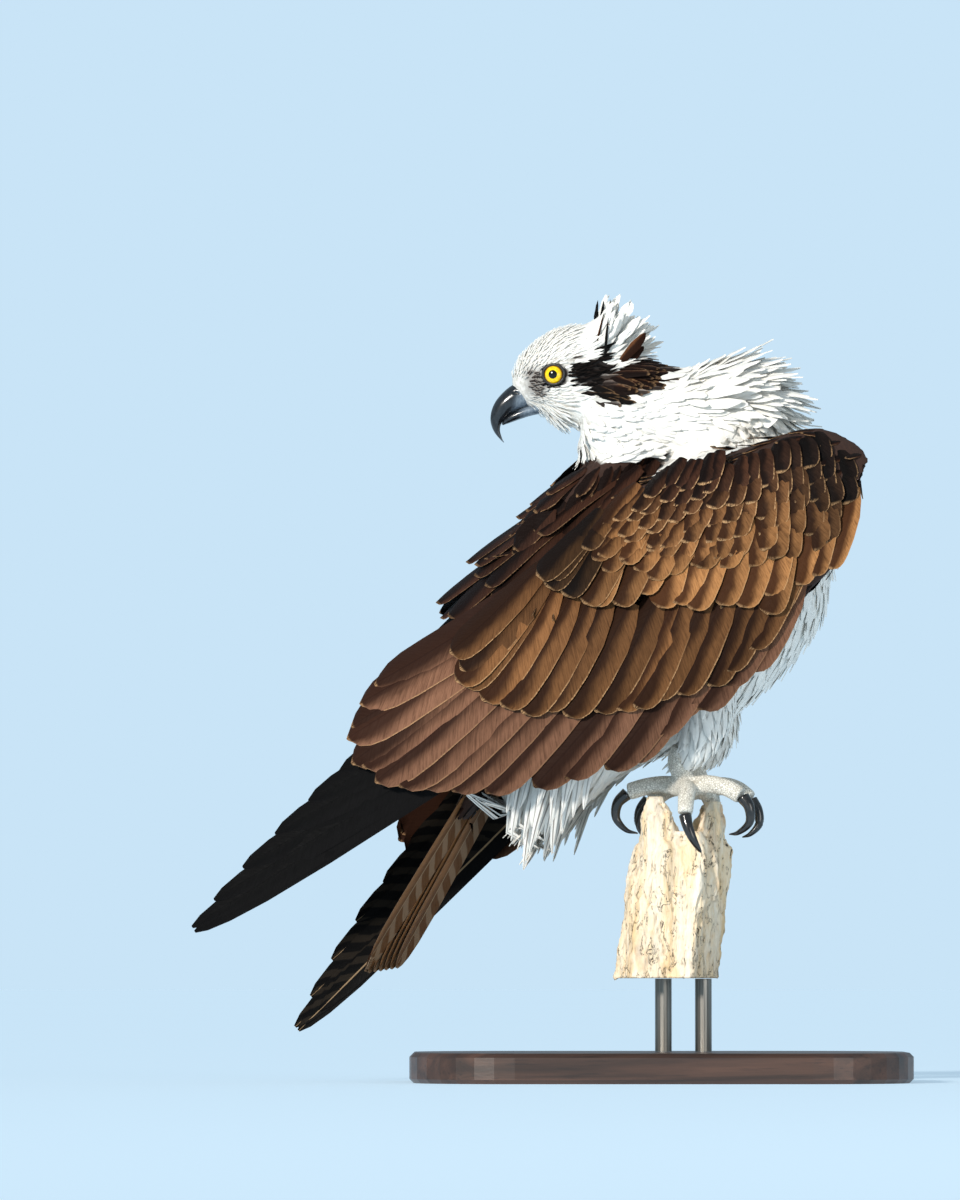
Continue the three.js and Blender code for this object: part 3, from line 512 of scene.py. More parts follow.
class Paint:
    """A material with its nodes added one by one. A colour is a value or a code such as #f4f1ea."""

    def __init__(self, name):
        self.material = bpy.data.materials.new(name)
        self.material.use_nodes = True
        self.nodes = self.material.node_tree.nodes
        self.links = self.material.node_tree.links
        self.shader = next(n for n in self.nodes if n.type == "BSDF_PRINCIPLED")

    def wire(self, value, socket):
        if isinstance(value, Value):
            self.links.new(value.socket, socket)
        elif value is not None:
            socket.default_value = rgba(value) if isinstance(value, str) else value

    def node(self, kind, inputs, output=0, **settings):
        """A new node with its settings, its inputs wired by name or number, and one of its outputs."""
        node = self.nodes.new(kind)
        for key, value in settings.items():
            setattr(node, key, value)
        for key, value in inputs.items():
            self.wire(value, node.inputs[key])
        return Value(self, node.outputs[output])

    def math(self, operation, *values):
        return self.node("ShaderNodeMath", dict(enumerate(values)), operation=operation)

    def between(self, value, low, high, start=0.0, end=1.0):
        inputs = dict(enumerate((value, low, high, start, end)))
        return self.node("ShaderNodeMapRange", inputs, interpolation_type="SMOOTHSTEP")

    def blend(self, share, a, b, how="MIX"):
        return self.node("ShaderNodeMix", {0: share, 6: a, 7: b}, 2, data_type="RGBA", blend_type=how)

    def attribute(self, name, output="Fac"):
        return self.node("ShaderNodeAttribute", {}, output, attribute_name=name)

    def uv(self, name):
        split = self.node("ShaderNodeSeparateXYZ", {0: self.node("ShaderNodeUVMap", {}, uv_map=name)})
        return split, Value(self, split.socket.node.outputs[1])

    def place(self, scale=(1, 1, 1)):
        spot = self.node("ShaderNodeTexCoord", {}, "Object")
        return self.node("ShaderNodeMapping", {0: spot, "Scale": scale})

    def vector(self, *values):
        return self.node("ShaderNodeCombineXYZ", dict(enumerate(values)))

    def noise(self, vector, scale, detail=3.0, roughness=0.55, distortion=0.0):
        inputs = {"Vector": vector, "Scale": scale, "Detail": detail, "Roughness": roughness}
        return self.node("ShaderNodeTexNoise", {**inputs, "Distortion": distortion})

    def bump(self, height, strength, distance):
        inputs = {"Height": height, "Strength": strength, "Distance": distance}
        self.wire(self.node("ShaderNodeBump", inputs), self.shader.inputs["Normal"])

    def done(self, colour, roughness, **constants):
        self.wire(colour, self.shader.inputs["Base Color"])
        self.wire(roughness, self.shader.inputs["Roughness"])
        for key, value in constants.items():
            self.shader.inputs[key.replace("_", " ")].default_value = value
        return self.material


def rgb(code):
    """A colour written as on a paint chart, turned to the shader's own linear values."""
    parts = [int(code[i : i + 2], 16) / 255 for i in (1, 3, 5)]
    return np.array([c / 12.92 if c <= 0.04045 else ((c + 0.055) / 1.055) ** 2.4 for c in parts])


def rgba(code):
    return (*rgb(code), 1.0)


WHITE = rgb("#f4f1ea")
NEAR_BLACK = rgb("#0b0909")
BLACK_BROWN = rgb("#1c120e")
DARK_BROWN = rgb("#3c2317")
BROWN = rgb("#663f25")
WARM_BROWN = rgb("#8c6039")
DUSKY_BROWN = rgb("#6e4c39")


# The dark streaks and quill of a vane, and the painted shade on its covered side, as a share of its own colour.
DARK_TONE_AND_SHADE = (0.1, 0.07, 0.06, 1)


def feather_paint(name, pale, shaft, painted_shade, mottle, sheen, barb_depth):
    """Plumage: the fourth number is how dark the painted shade is on the side that the next feather covers."""
    paint = Paint(name)
    u, v = paint.uv("Vane")
    shade = paint.attribute("shade", "Color")
    number, size, width = (paint.attribute(key) for key in ("number", "size", "width"))
    signed = (u - 0.5) * 2.0
    across = paint.math("ABSOLUTE", signed)
    slant = v * size - across * width
    barbs = paint.math("SINE", slant * 6.5)
    streaks = paint.noise(paint.vector(u * 1.6, slant * 0.35, number), 2.2, 5.0, 0.7)
    patches = paint.noise(paint.vector(u, v * 1.4, number), 1.8, 3.0)
    dark_tone_and_shade = paint.blend(1.0, shade, DARK_TONE_AND_SHADE, "MULTIPLY")
    mottled = paint.blend(paint.between(streaks, 0.35, 0.78, 0.0, mottle), shade, dark_tone_and_shade)
    # Painted shade: the side that the next feather covers is darkened as if in its shadow, and more so towards
    # the tip.
    core = (signed + 0.1) - patches * 0.9 - paint.between(v, 0.55, 1.0) * 0.25
    shaded_web = paint.blend((1.0 - paint.between(core, -0.28, 0.36)) * painted_shade, mottled, dark_tone_and_shade)
    # The open side and the tip have a thin pale rim, broken by wear.
    tip_rim = paint.between((1.0 - v) * size, 2.4, 0.6)
    side_rim = paint.between((1.0 - signed) * width, 1.0, 0.1) * paint.between(v, 0.25, 0.7)
    broken = paint.math("MAXIMUM", side_rim, tip_rim) * paint.between(streaks, 0.36, 0.6)
    edged = paint.blend(broken * paint.attribute("edge"), shaded_web, pale)
    wave = paint.math("SINE", slant * 0.42 + patches * 2.0)
    bar = paint.between(wave, -0.1, 0.5) * paint.attribute("bars") * paint.between(signed, 0.1, -0.15)
    barred = paint.blend(bar, edged, pale)
    # A large feather shows its quill down the middle.
    quill = paint.between(across * width, 0.75, 0.3) * paint.between(size, 30.0, 90.0, 0.0, 0.8)
    quill_tone = paint.blend(paint.between(paint.attribute("bars"), 0.0, 0.03), dark_tone_and_shade, shaft)
    paint.bump(barbs * 0.3 + quill * 1.2 + streaks * 0.8, 0.4, barb_depth)
    return paint.done(
        paint.blend(quill, barred, quill_tone), paint.between(streaks, 0.2, 0.8, 0.5, 0.75),
        Sheen_Weight=sheen, Sheen_Roughness=0.5, Specular_IOR_Level=0.08,
    )


# The fourth number of each is how dark the painted shade is on a vane's covered side.
white_paint = feather_paint("white_plumage", "#fdfbf6", "#e0d8ca", 0.0, 0.1, 0.1, 0.0002)
brown_paint = feather_paint("brown_plumage", "#c99d70", "#1c110c", 0.95, 0.7, 0.02, 0.0003)
quill_paint = feather_paint("dark_quills", "#b59c80", "#a08464", 0.6, 0.4, 0.02, 0.0003)


def skin_paint():
    paint = Paint("skin_under_feathers")
    down = paint.noise(paint.place(), 420.0, 3.0)
    shade = paint.attribute("shade", "Color")
    shadow = paint.blend(1.0, shade, (0.72, 0.7, 0.68, 1), "MULTIPLY")
    paint.bump(down, 0.6, 0.0008)
    return paint.done(paint.blend(paint.between(down, 0.3, 0.7), shade, shadow), 0.9)


def bill_paint():
    paint = Paint("bill_horn")
    cere = paint.attribute("cere")
    grain = paint.noise(paint.place((1, 1, 0.4)), 600.0, 4.0)
    horn = paint.blend(paint.between(grain, 0.3, 0.75), "#0c0d10", "#23262b")
    soft = paint.blend(paint.between(grain, 0.3, 0.7), "#7f8b96", "#566270")
    paint.bump(grain, 0.25, 0.0002)
    colour = paint.blend(paint.attribute("nostril"), paint.blend(cere, horn, soft), "#050506")
    return paint.done(colour, paint.between(cere, 0.0, 1.0, 0.22, 0.5), Coat_Weight=0.4, Coat_Roughness=0.15)


def talon_paint():
    paint = Paint("talon_horn")
    grain = paint.noise(paint.place((1, 1, 0.3)), 700.0, 4.0)
    paint.bump(grain, 0.2, 0.0002)
    colour = paint.blend(paint.between(grain, 0.3, 0.7), "#0a0a0b", "#2a2724")
    return paint.done(colour, 0.2, Coat_Weight=0.5, Coat_Roughness=0.1)


def foot_paint():
    paint = Paint("rough_scales")
    inputs = {"Vector": paint.place(), "Scale": 700.0}
    cells = paint.node("ShaderNodeTexVoronoi", inputs, feature="DISTANCE_TO_EDGE")
    groove = paint.between(cells, 0.0, 0.16)
    stain = paint.noise(paint.place(), 160.0, 4.0)
    scale = paint.blend(paint.between(stain, 0.4, 0.75), "#f3eee2", "#d3cdbf")
    paint.bump(groove, 0.6, 0.0005)
    return paint.done(paint.blend(groove, "#b3ab9c", scale), 0.62, Coat_Weight=0.08, Coat_Roughness=0.4)


def eye_paint():
    paint = Paint("eye_yellow")
    reach = paint.attribute("gaze")
    flecks = paint.noise(paint.place(), 900.0, 4.0)
    iris = paint.blend(paint.between(flecks, 0.35, 0.7), "#ffdd12", "#eab308")
    iris = paint.blend(paint.between(reach, 0.7, 0.84), iris, "#8a5c05")
    colour = paint.blend(paint.between(reach, 0.37, 0.4), "#020202", iris)
    colour = paint.blend(paint.between(reach, 0.86, 0.92), colour, "#0a0807")
    return paint.done(colour, 0.12, Specular_IOR_Level=0.25, Coat_Weight=0.5, Coat_Roughness=0.02)


def lid_paint():
    paint = Paint("lid_skin")
    wrinkle = paint.noise(paint.place(), 900.0, 3.0)
    paint.bump(wrinkle, 0.5, 0.0003)
    return paint.done(paint.blend(paint.between(wrinkle, 0.3, 0.7), "#0c0b0b", "#2b2725"), 0.4)


def dead_wood_paint():
    paint = Paint("dead_wood")
    grain = paint.noise(paint.place((90, 90, 14)), 1.0, 8.0, 0.7, 0.8)
    fine = paint.noise(paint.place((420, 420, 60)), 1.0, 6.0, 0.6)
    flakes = paint.noise(paint.place((150, 150, 70)), 1.0, 4.0, 0.6, 1.2)
    stain = paint.noise(paint.place((30, 30, 16)), 1.0, 4.0, 0.6)
    pale = paint.blend(paint.between(grain, 0.35, 0.7), "#fff1da", "#efcd9a")
    pale = paint.blend(paint.between(fine, 0.5, 0.78) * 0.45, pale, "#b98f60")
    warm = paint.blend(paint.between(stain, 0.56, 0.72) * 0.7, pale, "#c98b4e")
    grey = paint.blend(paint.between(stain, 0.4, 0.3) * 0.6, warm, "#a99a8c")
    crack = paint.between(paint.math("ABSOLUTE", flakes - 0.42), 0.014, 0.003) * paint.between(grain, 0.4, 0.55)
    paint.bump(grain + fine * 0.35 - crack, 0.9, 0.003)
    return paint.done(paint.blend(crack, grey, "#4a3220"), 0.86)


def stand_wood_paint():
    paint = Paint("stand_walnut")
    grain = paint.noise(paint.place((4, 60, 60)), 1.0, 7.0, 0.6, 0.8)
    pores = paint.noise(paint.place((30, 700, 700)), 1.0, 3.0)
    colour = paint.blend(paint.between(grain, 0.3, 0.7), "#2b1b12", "#54382a")
    colour = paint.blend(paint.between(pores, 0.55, 0.7) * 0.5, colour, "#180e09")
    paint.bump(pores, 0.15, 0.0003)
    return paint.done(colour, 0.4, Coat_Weight=0.25, Coat_Roughness=0.25)


def steel_paint():
    paint = Paint("brushed_rod")
    brush = paint.noise(paint.place((900, 900, 20)), 1.0, 3.0)
    paint.bump(brush, 0.1, 0.0001)
    colour = paint.blend(paint.between(brush, 0.3, 0.7), "#8b8780", "#6d6962")
    return paint.done(colour, paint.between(brush, 0.2, 0.8, 0.28, 0.42), Metallic=1.0)


def thigh(side):
    back = LEFT_LEG_BACK if side > 0 else 0
    return [(x - back * float(smooth(z, 190, 236)), side * y, z, w, h) for x, y, z, w, h in THIGH]


# The skin.
def flesh():
    pieces = [
        lofted("torso_flesh", TORSO, around=40, rings=30),
        lofted("neck_flesh", NECK, around=36, rings=24),
        lofted("mantle_flesh", MANTLE, around=36, rings=20),
        lofted("tail_flesh", TAIL_BLOCK, around=24, rings=14),
        lofted("head_flesh", HEAD, around=36, rings=24, move=lambda p: to_world(from_head(p))),
    ]
    for side in (1, -1):
        pieces.append(lofted("thigh_flesh", thigh(side), around=24, rings=16))
    for wing in wings.values():
        for name, outline, outer, inner, around, rings in (
            ("arm_flesh", ARM_OUTLINE, arm_outer, arm_inner, 40, 24),
            ("hand_flesh", HAND_OUTLINE, hand_outer, hand_inner, 30, 16),
        ):
            pieces.append(shaped_ball(
                name, lambda u, v: to_world(pillow(wing, outline, outer, inner, u, v)), around, rings
            ))
    skin = remeshed(joined("skin", pieces), SKIN_VOXEL, 5)
    set_points(skin, points_of(skin) - numbers(skin.data.vertices, "normal") * COAT_DEPTH * MM)
    return skin


LINES = {
    "torso": TORSO, "neck": NECK, "mantle": MANTLE,
    "leg_right": thigh(-1), "leg_left": thigh(1),
    "tail": TAIL_BLOCK, "head": [(*from_head(s[:3]), s[3], s[4]) for s in HEAD],
}
# The upper edge of the wing's feathers, which the back's feathers take over from: a and b on the wing.
WING_TOP = ([-8, 2, 14, 52, 87, 126, 190], [8, 28, 37, 49, 64, 74, 80])


def wing_place(a, b):
    """Where a feather's root lies on the wing, as shares of the wing's length and height."""
    return np.stack([(a + 20) / 540, (b + 90) / 190], -1)


def by_region(region, values, other):
    """One number for each point, by the part of the body that it lies on."""
    for name, value in values.items():
        other = np.where(np.char.startswith(region, name), value, other)
    return other


def nearest_line(p):
    """For points of the skin: which body each belongs to, how far along it, and which way it runs there."""
    names = list(LINES) + ["wing_" + name for name in wings]
    best = np.full(len(p), 1e9)
    which = np.zeros(len(p), int)
    along = np.zeros((len(p), 3))
    place = np.zeros((len(p), 2))
    t = np.linspace(0, 1, 41)
    for k, stations in enumerate(LINES.values()):
        row = curve(stations, t)
        ahead = unit(np.gradient(row[:, :3], axis=0))
        gap = np.linalg.norm(p[:, None] - row[None, :, :3], axis=-1)
        share = gap / np.maximum(row[None, :, 3:5].mean(-1), 4)
        i = share.argmin(1)
        value = share[np.arange(len(p)), i]
        better = value < best
        best = np.where(better, value, best)
        which = np.where(better, k, which)
        along = np.where(better[:, None], ahead[i], along)
        offset = p - row[i, :3]
        angle = np.arctan2(offset[:, 2], offset[:, 1]) / (2 * np.pi) + 0.5
        place = np.where(better[:, None], np.stack([t[i], angle], -1), place)
    for k, wing in enumerate(wings.values(), len(LINES)):
        offset = p - wing.wrist
        a, b, out = offset @ wing.along, offset @ wing.up, offset @ wing.out
        height = np.where(b < 0, b / wing.below, b)
        inside = (a > -14) & (a < 195) & (height > -60) & (height < 84)
        inside &= height < np.interp(a, *WING_TOP)
        inside &= out - wing.bulge(a, height) > -26 - 14 * smooth(a, 20, 90)
        inside &= np.abs(p[:, 1]) > 34
        which = np.where(inside, k, which)
        along = np.where(inside[:, None], wing.along, along)
        place = np.where(inside[:, None], wing_place(a, height), place)
    return np.array(names)[which], along, place


def spread_roots(skin, spacing):
    """Roots scattered evenly over the skin: spacing gives how far apart they are at each point."""
    faces = skin.data.polygons
    centre = numbers(faces, "center").astype(float)
    normal = numbers(faces, "normal").astype(float)
    region, _, _ = nearest_line(from_world(centre))
    fine = np.flatnonzero((region == "head") | (region == "neck"))
    order = chance.permutation(np.concatenate([np.arange(len(faces)), np.repeat(fine, 3)]))
    n = turned(normal[order], -BIRD_TURN, 0)
    jitter = chance.uniform(-ROOT_JITTER, ROOT_JITTER, (len(order), 3))
    p = from_world(centre[order]) + jitter - n * (jitter * n).sum(-1, keepdims=True)
    region, along, place = nearest_line(p)
    gap = spacing(p, region)
    grid = {}
    kept = []
    for i in np.flatnonzero(gap > 0):
        x, y, z = p[i]
        cx, cy, cz = int(x // CELL), int(y // CELL), int(z // CELL)
        reach = gap[i]
        span = int(math.ceil(reach / CELL))
        crowded = any(
            (x - q[0]) ** 2 + (y - q[1]) ** 2 + (z - q[2]) ** 2 < reach * reach
            for ix in range(cx - span, cx + span + 1)
            for iy in range(cy - span, cy + span + 1)
            for iz in range(cz - span, cz + span + 1)
            for q in grid.get((ix, iy, iz), ())
        )
        if not crowded:
            grid.setdefault((cx, cy, cz), []).append((x, y, z))
            kept.append(i)
    return p[kept], n[kept], region[kept], along[kept], place[kept]


def on_skin(tree, p):
    """The nearest points of the skin, and its normals there, in the bird's frame."""
    world = to_world(p)
    found = [tree.find_nearest(q) for q in world]
    spot = from_world(np.array([f[0] for f in found]))
    face = turned(np.array([f[1] for f in found]), -BIRD_TURN, 0)
    return spot, face


# Markings, shared by the skin and the coat. Points are in the bird's frame, outlines in the head's own
# x and z.
EYE_BAND = [
    (1, 6.4), (-9.5, 6.8), (-17, 9.8), (-19.5, 18), (-23, 20), (-26.5, 2), (-26, -4.6), (-30, -8), (-37, -12),
    (-37, -20), (-24, -19), (-15, -13.5), (-9.5, -8), (-2.3, -7), (-1, 0.8),
]
NAPE_PATCH = [
    (-39, 9), (-50, 10), (-63, 3), (-58, -6), (-47, -12), (-34, -13), (-27.5, -8), (-30, -1.6), (-37, 1),
]
BROW_LINE = [(4, 8), (-2, 10.4), (-9, 11.4), (-9, 9.8), (-2, 8.6)]
LORES = [(29, 3), (24, 5), (16, 3), (13, -7), (15, -14), (22, -15), (27, -8)]


def within(x, z, outline, soft):
    """How far inside an outline each point is, from 0 outside to 1 inside, with a soft rim."""
    corners = np.asarray(outline, float)
    inside = np.zeros(x.shape, bool)
    rim = np.full(x.shape, 1e9)
    for (x0, z0), (x1, z1) in zip(corners, np.roll(corners, -1, axis=0)):
        crossing = x0 + (z - z0) * (x1 - x0) / (z1 - z0 + 1e-9)
        inside ^= ((z0 > z) != (z1 > z)) & (x < crossing)
        run = (x1 - x0) ** 2 + (z1 - z0) ** 2
        share = np.clip(((x - x0) * (x1 - x0) + (z - z0) * (z1 - z0)) / run, 0, 1)
        rim = np.minimum(rim, np.hypot(x - x0 - share * (x1 - x0), z - z0 - share * (z1 - z0)))
    return smooth(np.where(inside, rim, -rim), -soft, soft)


def head_marks(p):
    """How black-brown the head is at p."""
    h = to_head(p)
    x, z = h[..., 0], h[..., 2]
    ring = smooth(np.hypot(x - EYE["x"], z - EYE["z"]), 8.6, 7.4)
    lores = within(x, z, LORES, 3.5) * 0.6
    brow = within(x, z, BROW_LINE, 0.7) * 0.7
    return np.maximum.reduce([within(x, z, EYE_BAND, 0.8), ring, lores, brow]) * smooth(x, 36, 30)


def body_shade(p, region):
    """The plumage's colour at p, and how brown it is: white below, brown above, with a band through the eye."""
    h = to_head(p)
    nape = within(h[:, 0], h[:, 2], NAPE_PATCH, 2.0)
    marks = np.maximum(head_marks(p), nape)
    back = smooth(p[:, 2] - (0.93 * p[:, 0] + 318), 6, 26) * smooth(p[:, 0], 12, -16)
    back = np.where(np.abs(p[:, 1]) < 60, back, 0)
    rump = smooth(p[:, 0], -90, -98)
    amount = by_region(region, {
        "head": marks, "neck": marks, "torso": np.maximum(back, rump), "mantle": smooth(p[:, 0], 4, -10),
        "wing": 1.0, "tail": 1.0,
    }, np.zeros(len(p)))
    band = by_region(region, {key: smooth(amount - nape, 0.64, 0.85) for key in ("head", "neck")}, 0)
    return mix(mix(WHITE, DARK_BROWN, amount[:, None]), BLACK_BROWN, band[:, None]), amount


def coat_spacing(p, region):
    h = to_head(p)
    gap = by_region(region, {
        "head": mix(1.3, 2.5, smooth(h[:, 0], 22, -16)), "neck": 2.5, "torso": 4.0, "mantle": 8.0, "leg": 3.6,
        "wing": 7.5, "tail": 7.0,
    }, 9.0)
    eye = np.hypot(h[:, 0] - EYE["x"], h[:, 2] - EYE["z"]) < 6.4
    bill = (h[:, 0] > 27) & (h[:, 2] < -3)
    return np.where((region == "head") & (eye | bill), -1, gap)


def coat(skin, tree):
    """The small feathers of the head, neck, body and legs, and the down on the wings' edges."""
    p, n, region, along, place = spread_roots(skin, coat_spacing)
    h = to_head(p)
    count = len(p)
    head, neck, torso = region == "head", region == "neck", region == "torso"
    crest = np.where(head, smooth(h[:, 0], 3, -8) * smooth(h[:, 2], 7, 18), 0)
    throat = smooth(h[:, 2], -14, -24)
    back_of_neck = smooth(n[:, 2], -0.1, 0.6)
    ruffle = smooth(p[:, 0], -30, 15) * smooth(n[:, 2], 0.0, 0.6) * smooth(p[:, 2], 372, 392)
    under = smooth(p[:, 0], -5, -60) * smooth(n[:, 2], 0.2, -0.4) * smooth(p[:, 0], -96, -84)
    rump = smooth(p[:, 0], -84, -98)
    length = by_region(region, {
        "head": mix(5.0, 9.5, smooth(h[:, 0], 24, -12)) + 10 * crest + 5 * throat,
        "neck": 16 + 4 * back_of_neck + 8 * ruffle,
        "torso": mix(22 + 32 * under + 4 * ruffle, 13, rump),
        "tail": 13.0, "mantle": 30.0, "leg_right": 15.0, "leg_left": 10.0, "wing": 18.0,
    }, 24.0)
    length = length * chance.uniform(0.8, 1.2, count)
    # Loft lines run from tail to neck on the trunk, and from the leg's top down.
    flow = np.where((torso | head | neck)[:, None], -along, along)
    flow = flow + np.where((head | neck)[:, None], (0, 0, 0), (0, 0, -0.12))
    flow = flow + np.where(torso, under, 0)[:, None] * np.array([0.1, 0, -0.9])
    flow = flow + chance.normal(0, 0.13, (count, 3))
    flow = unit(flow - n * (flow * n).sum(-1, keepdims=True))
    # The crest stands up at the back of the crown, most steeply in its middle.
    steep = np.radians(np.interp(-h[:, 0], *CREST_STAND)) + chance.normal(0, 0.1, count)
    standing = np.stack([-np.cos(steep), 0.1 * np.sign(h[:, 1]), np.sin(steep)], -1)
    flow = unit(mix(flow, turned(standing, HEAD_TURN, 0), crest[:, None]))
    lift = by_region(region, {
        "head": 0.1 + 0.25 * throat,
        "neck": 0.05 + 0.05 * back_of_neck + 0.5 * ruffle,
        "torso": (0.1 + (0.6 * under + 0.35 * ruffle)) * (1 - 0.8 * rump),
        "tail": 0.02,
    }, 0.1)
    lift = lift + chance.normal(0, 0.04, count) + ruffle * chance.normal(0, 0.12, count)
    cling = (by_region(region, {"leg": 0.92}, 0.65) * (1 - crest))[:, None]
    centre = np.zeros((count, 5, 3))
    normal = np.zeros((count, 5, 3))
    for i, share in enumerate(np.linspace(0, 1, 5)):
        reach = p + flow * (length * share)[:, None]
        spot, face = on_skin(tree, reach)
        far = (np.linalg.norm(spot - reach, axis=-1) > 0.55 * length)[:, None]
        spot = np.where(far, reach, spot)
        face = np.where(far, n, face)
        rise = -0.5 + 1.7 * share + lift * length * share**1.4
        centre[:, i] = mix(reach - n * (0.12 * length * share**2)[:, None], spot, cling) + face * rise[:, None]
        normal[:, i] = unit(mix(n, face, 0.7))
    within_reach = np.abs(centre[..., 1]).max(-1) < COAT_REACH
    half = length * chance.uniform(0.1, 0.17, count)
    half = by_region(region, {
        "torso": np.minimum(half, mix(3.4, 2.6, under)),
        "neck": length * chance.uniform(0.09, 0.15, count),
        "head": np.maximum(length * 0.11, 0.75),
        "mantle": length * 0.3,
    }, half)
    shade, amount = body_shade(np.where((head | neck)[:, None], centre[:, 3], p), region)
    white = amount < 0.5
    edge = np.where(white, 0.3, by_region(region, {"head": 0.0, "neck": 0.35}, 0.5))
    shade = np.clip(shade * chance.uniform(0.9, 1.04, (count, 1)), 0, 1)
    sets = {name: Feathers() for name in ("white_head", "white_body", "brown_head", "brown_body")}
    small = length < SMALL_FEATHER
    for key in sorted(BAKE_ATLAS):
        for tone, chosen in (("white", white), ("brown", ~white)):
            target = sets[tone + ("_head" if key in ("head", "neck") else "_body")]
            for blank, use in (("wisp", small), ("pointed", ~small)):
                pick = np.flatnonzero((region == key) & chosen & within_reach & use)
                target.add(
                    blank, centre[pick], normal[pick], half[pick], shade[pick], key, place[pick], ragged=0.25,
                    edge=edge[pick],
                )
    return sets


# Single feathers of the crest: root and tip in the head's frame on the near side, half width and tone.
CREST_FEATHERS = [
    ((-14, 8, 32), (-15.5, 8, 45.5), 1.2, NEAR_BLACK), ((-17, 11, 30), (-19, 10, 45), 1.1, NEAR_BLACK),
    ((-20, 8, 31), (-23, 8, 46), 1.2, NEAR_BLACK), ((-19.5, 23, 10), (-21.5, 22, 34), 0.9, NEAR_BLACK),
    ((-20.5, 21, 22), (-24.5, 18, 38), 0.9, BROWN), ((-15, 22, 20), (-19, 19, 37), 0.7, BROWN),
    ((-28, 19.5, 6), (-44, 17, 25), 3.2, BROWN), ((-31, 17, 6), (-43, 14, 17), 2.6, BROWN),
]


def crest_feathers(feathers):
    t = np.linspace(0, 1, 5)[:, None]
    for root, tip, half, shade in CREST_FEATHERS:
        for side in (1, -1):
            start = np.array(root, float) * (1, side, 1)
            end = np.array(tip, float) * (1, side, 1)
            line = from_head(start + (end - start) * t + np.array([0, 1.5 * side, 0]) * np.sin(np.pi * t))
            normal = np.tile(turned(unit([0.1, side, 0.1]), HEAD_TURN, 0), (5, 1))
            blank = "wisp" if half < 2 else "pointed"
            feathers.add(blank, line[None], normal[None], half, shade, "head", [[0.5, 0.5]], ragged=0.2)


# The wings' feathers. The wing's skin falls away towards the wrist, and the feathers with it.
WRIST_FALL, WRIST_REACH = 5.5, (38, 2)


def wing_line(wing, root, tip, layer, sink, bow=0.0, lift=0.0, steps=8):
    """Each feather's line on the wing's surface, from its root to its tip."""
    t = np.linspace(0, 1, steps + 1)[None, :, None]
    run = tip - root
    length = np.linalg.norm(run, axis=-1)[:, None, None]
    sideways = np.stack([-run[:, 1], run[:, 0]], -1)[:, None] / length
    spot = root[:, None] * (1 - t) + tip[:, None] * t + sideways * (bow * np.sin(np.pi * t))
    a, b = spot[..., 0], spot[..., 1]
    normal = wing.normal(a, b)
    depth = each(layer, len(root))[:, None] - sink * (1 - smooth(t[..., 0], 0, 0.45))
    depth = depth + np.reshape(lift, (-1, 1)) * t[..., 0] ** 2 - WRIST_FALL * smooth(a, *WRIST_REACH)
    return wing.at(a, b) + normal * depth[..., None], normal


# Where the coverts are darkest, on the wing, how far that reaches, and how dark it is.
DARK_PATCH, DARK_REACH, DARKEST = np.array([178, 52]), (36, 14), 0.12


def add_wing_row(
    feathers, wing, blank, roots, tips, half, layer, shade, sink=2.2, bow=0.0, lean=8, lift=1.2, **look
):
    lean = lean + chance.normal(0, 1.6, len(roots))
    lift = lift * chance.uniform(-0.3, 1, len(roots))
    centre, normal = wing_line(wing, roots, tips, layer, sink, bow, lift)
    off = np.linalg.norm(mix(roots, tips, 0.7) - DARK_PATCH, axis=-1)
    shade = shade * mix(1.0, DARKEST, smooth(off, *DARK_REACH))[:, None]
    feathers.add(
        blank, centre, normal, half, shade, "wing_" + wing.name, wing_place(roots[:, 0], roots[:, 1]),
        lean=wing.side * np.radians(lean), flip=-wing.side, **look,
    )


def row_points(points, count, jitter=1.5):
    spot = curve(points, np.linspace(0, 1, count))
    return spot + chance.normal(0, jitter, spot.shape)


def tones(base, count, spread=0.16):
    return np.clip(np.array(base)[None] * chance.uniform(1 - spread, 1 + spread, (count, 1)), 0, 1)


SECONDARY_TIPS = [
    (124, -61), (168, -65), (210, -65), (256, -52), (302, -29), (338, -2), (356, 22), (350, 42), (320, 56),
]
GREATER_TIPS = [(92, -53), (134, -56), (176, -50), (216, -32), (248, -6), (272, 20), (266, 44)]
MEDIAN_ROOTS = [(16, -8), (54, 2), (92, 16), (124, 34), (140, 56)]
MEDIAN_TIPS = [(47, -39), (87, -37), (122, -19), (158, 6), (189, 28), (199, 54)]
LESSER_TOP = ([-8, 2, 14, 52, 87, 126], [4, 24, 33, 45, 60, 66])
FRONT_EDGE = ([0, 24, 62, 104], [-14, -26, -39, -43])
WRIST_FRONT, WRIST_COUNT = [(27, 34), (14, 25), (7, 10), (8, -2), (17, -12), (31, -20)], 13


def downwards(turn):
    """The way on the wing that turns down from its length by an angle."""
    return np.stack([np.cos(turn), -np.sin(turn)], -1)


def back_from(tips, length, slant):
    """The roots of feathers of one length, given how steeply each crosses the wing, in degrees."""
    return tips - downwards(np.radians(slant)) * np.reshape(length, (-1, 1))


def inside_front(roots, tips):
    """Leaves out the feathers that would hang over the wing's front edge."""
    kept = tips[:, 1] > np.interp(tips[:, 0], *FRONT_EDGE)
    return roots[kept], tips[kept]


def covert_row(feathers, wing, line, count, jitter, slants, length, halves, base, **look):
    t = np.linspace(0, 1, count)
    tips = row_points(line, count, jitter[0])
    slant = np.interp(t, [0, 0.5, 0.8, 1], slants) + chance.normal(0, jitter[1], count)
    roots = back_from(tips, length, slant)
    add_wing_row(
        feathers, wing, "broad", roots, tips, np.interp(t, *halves), shade=tones(base[0], count, base[1]),
        lift=2.0, **look,
    )


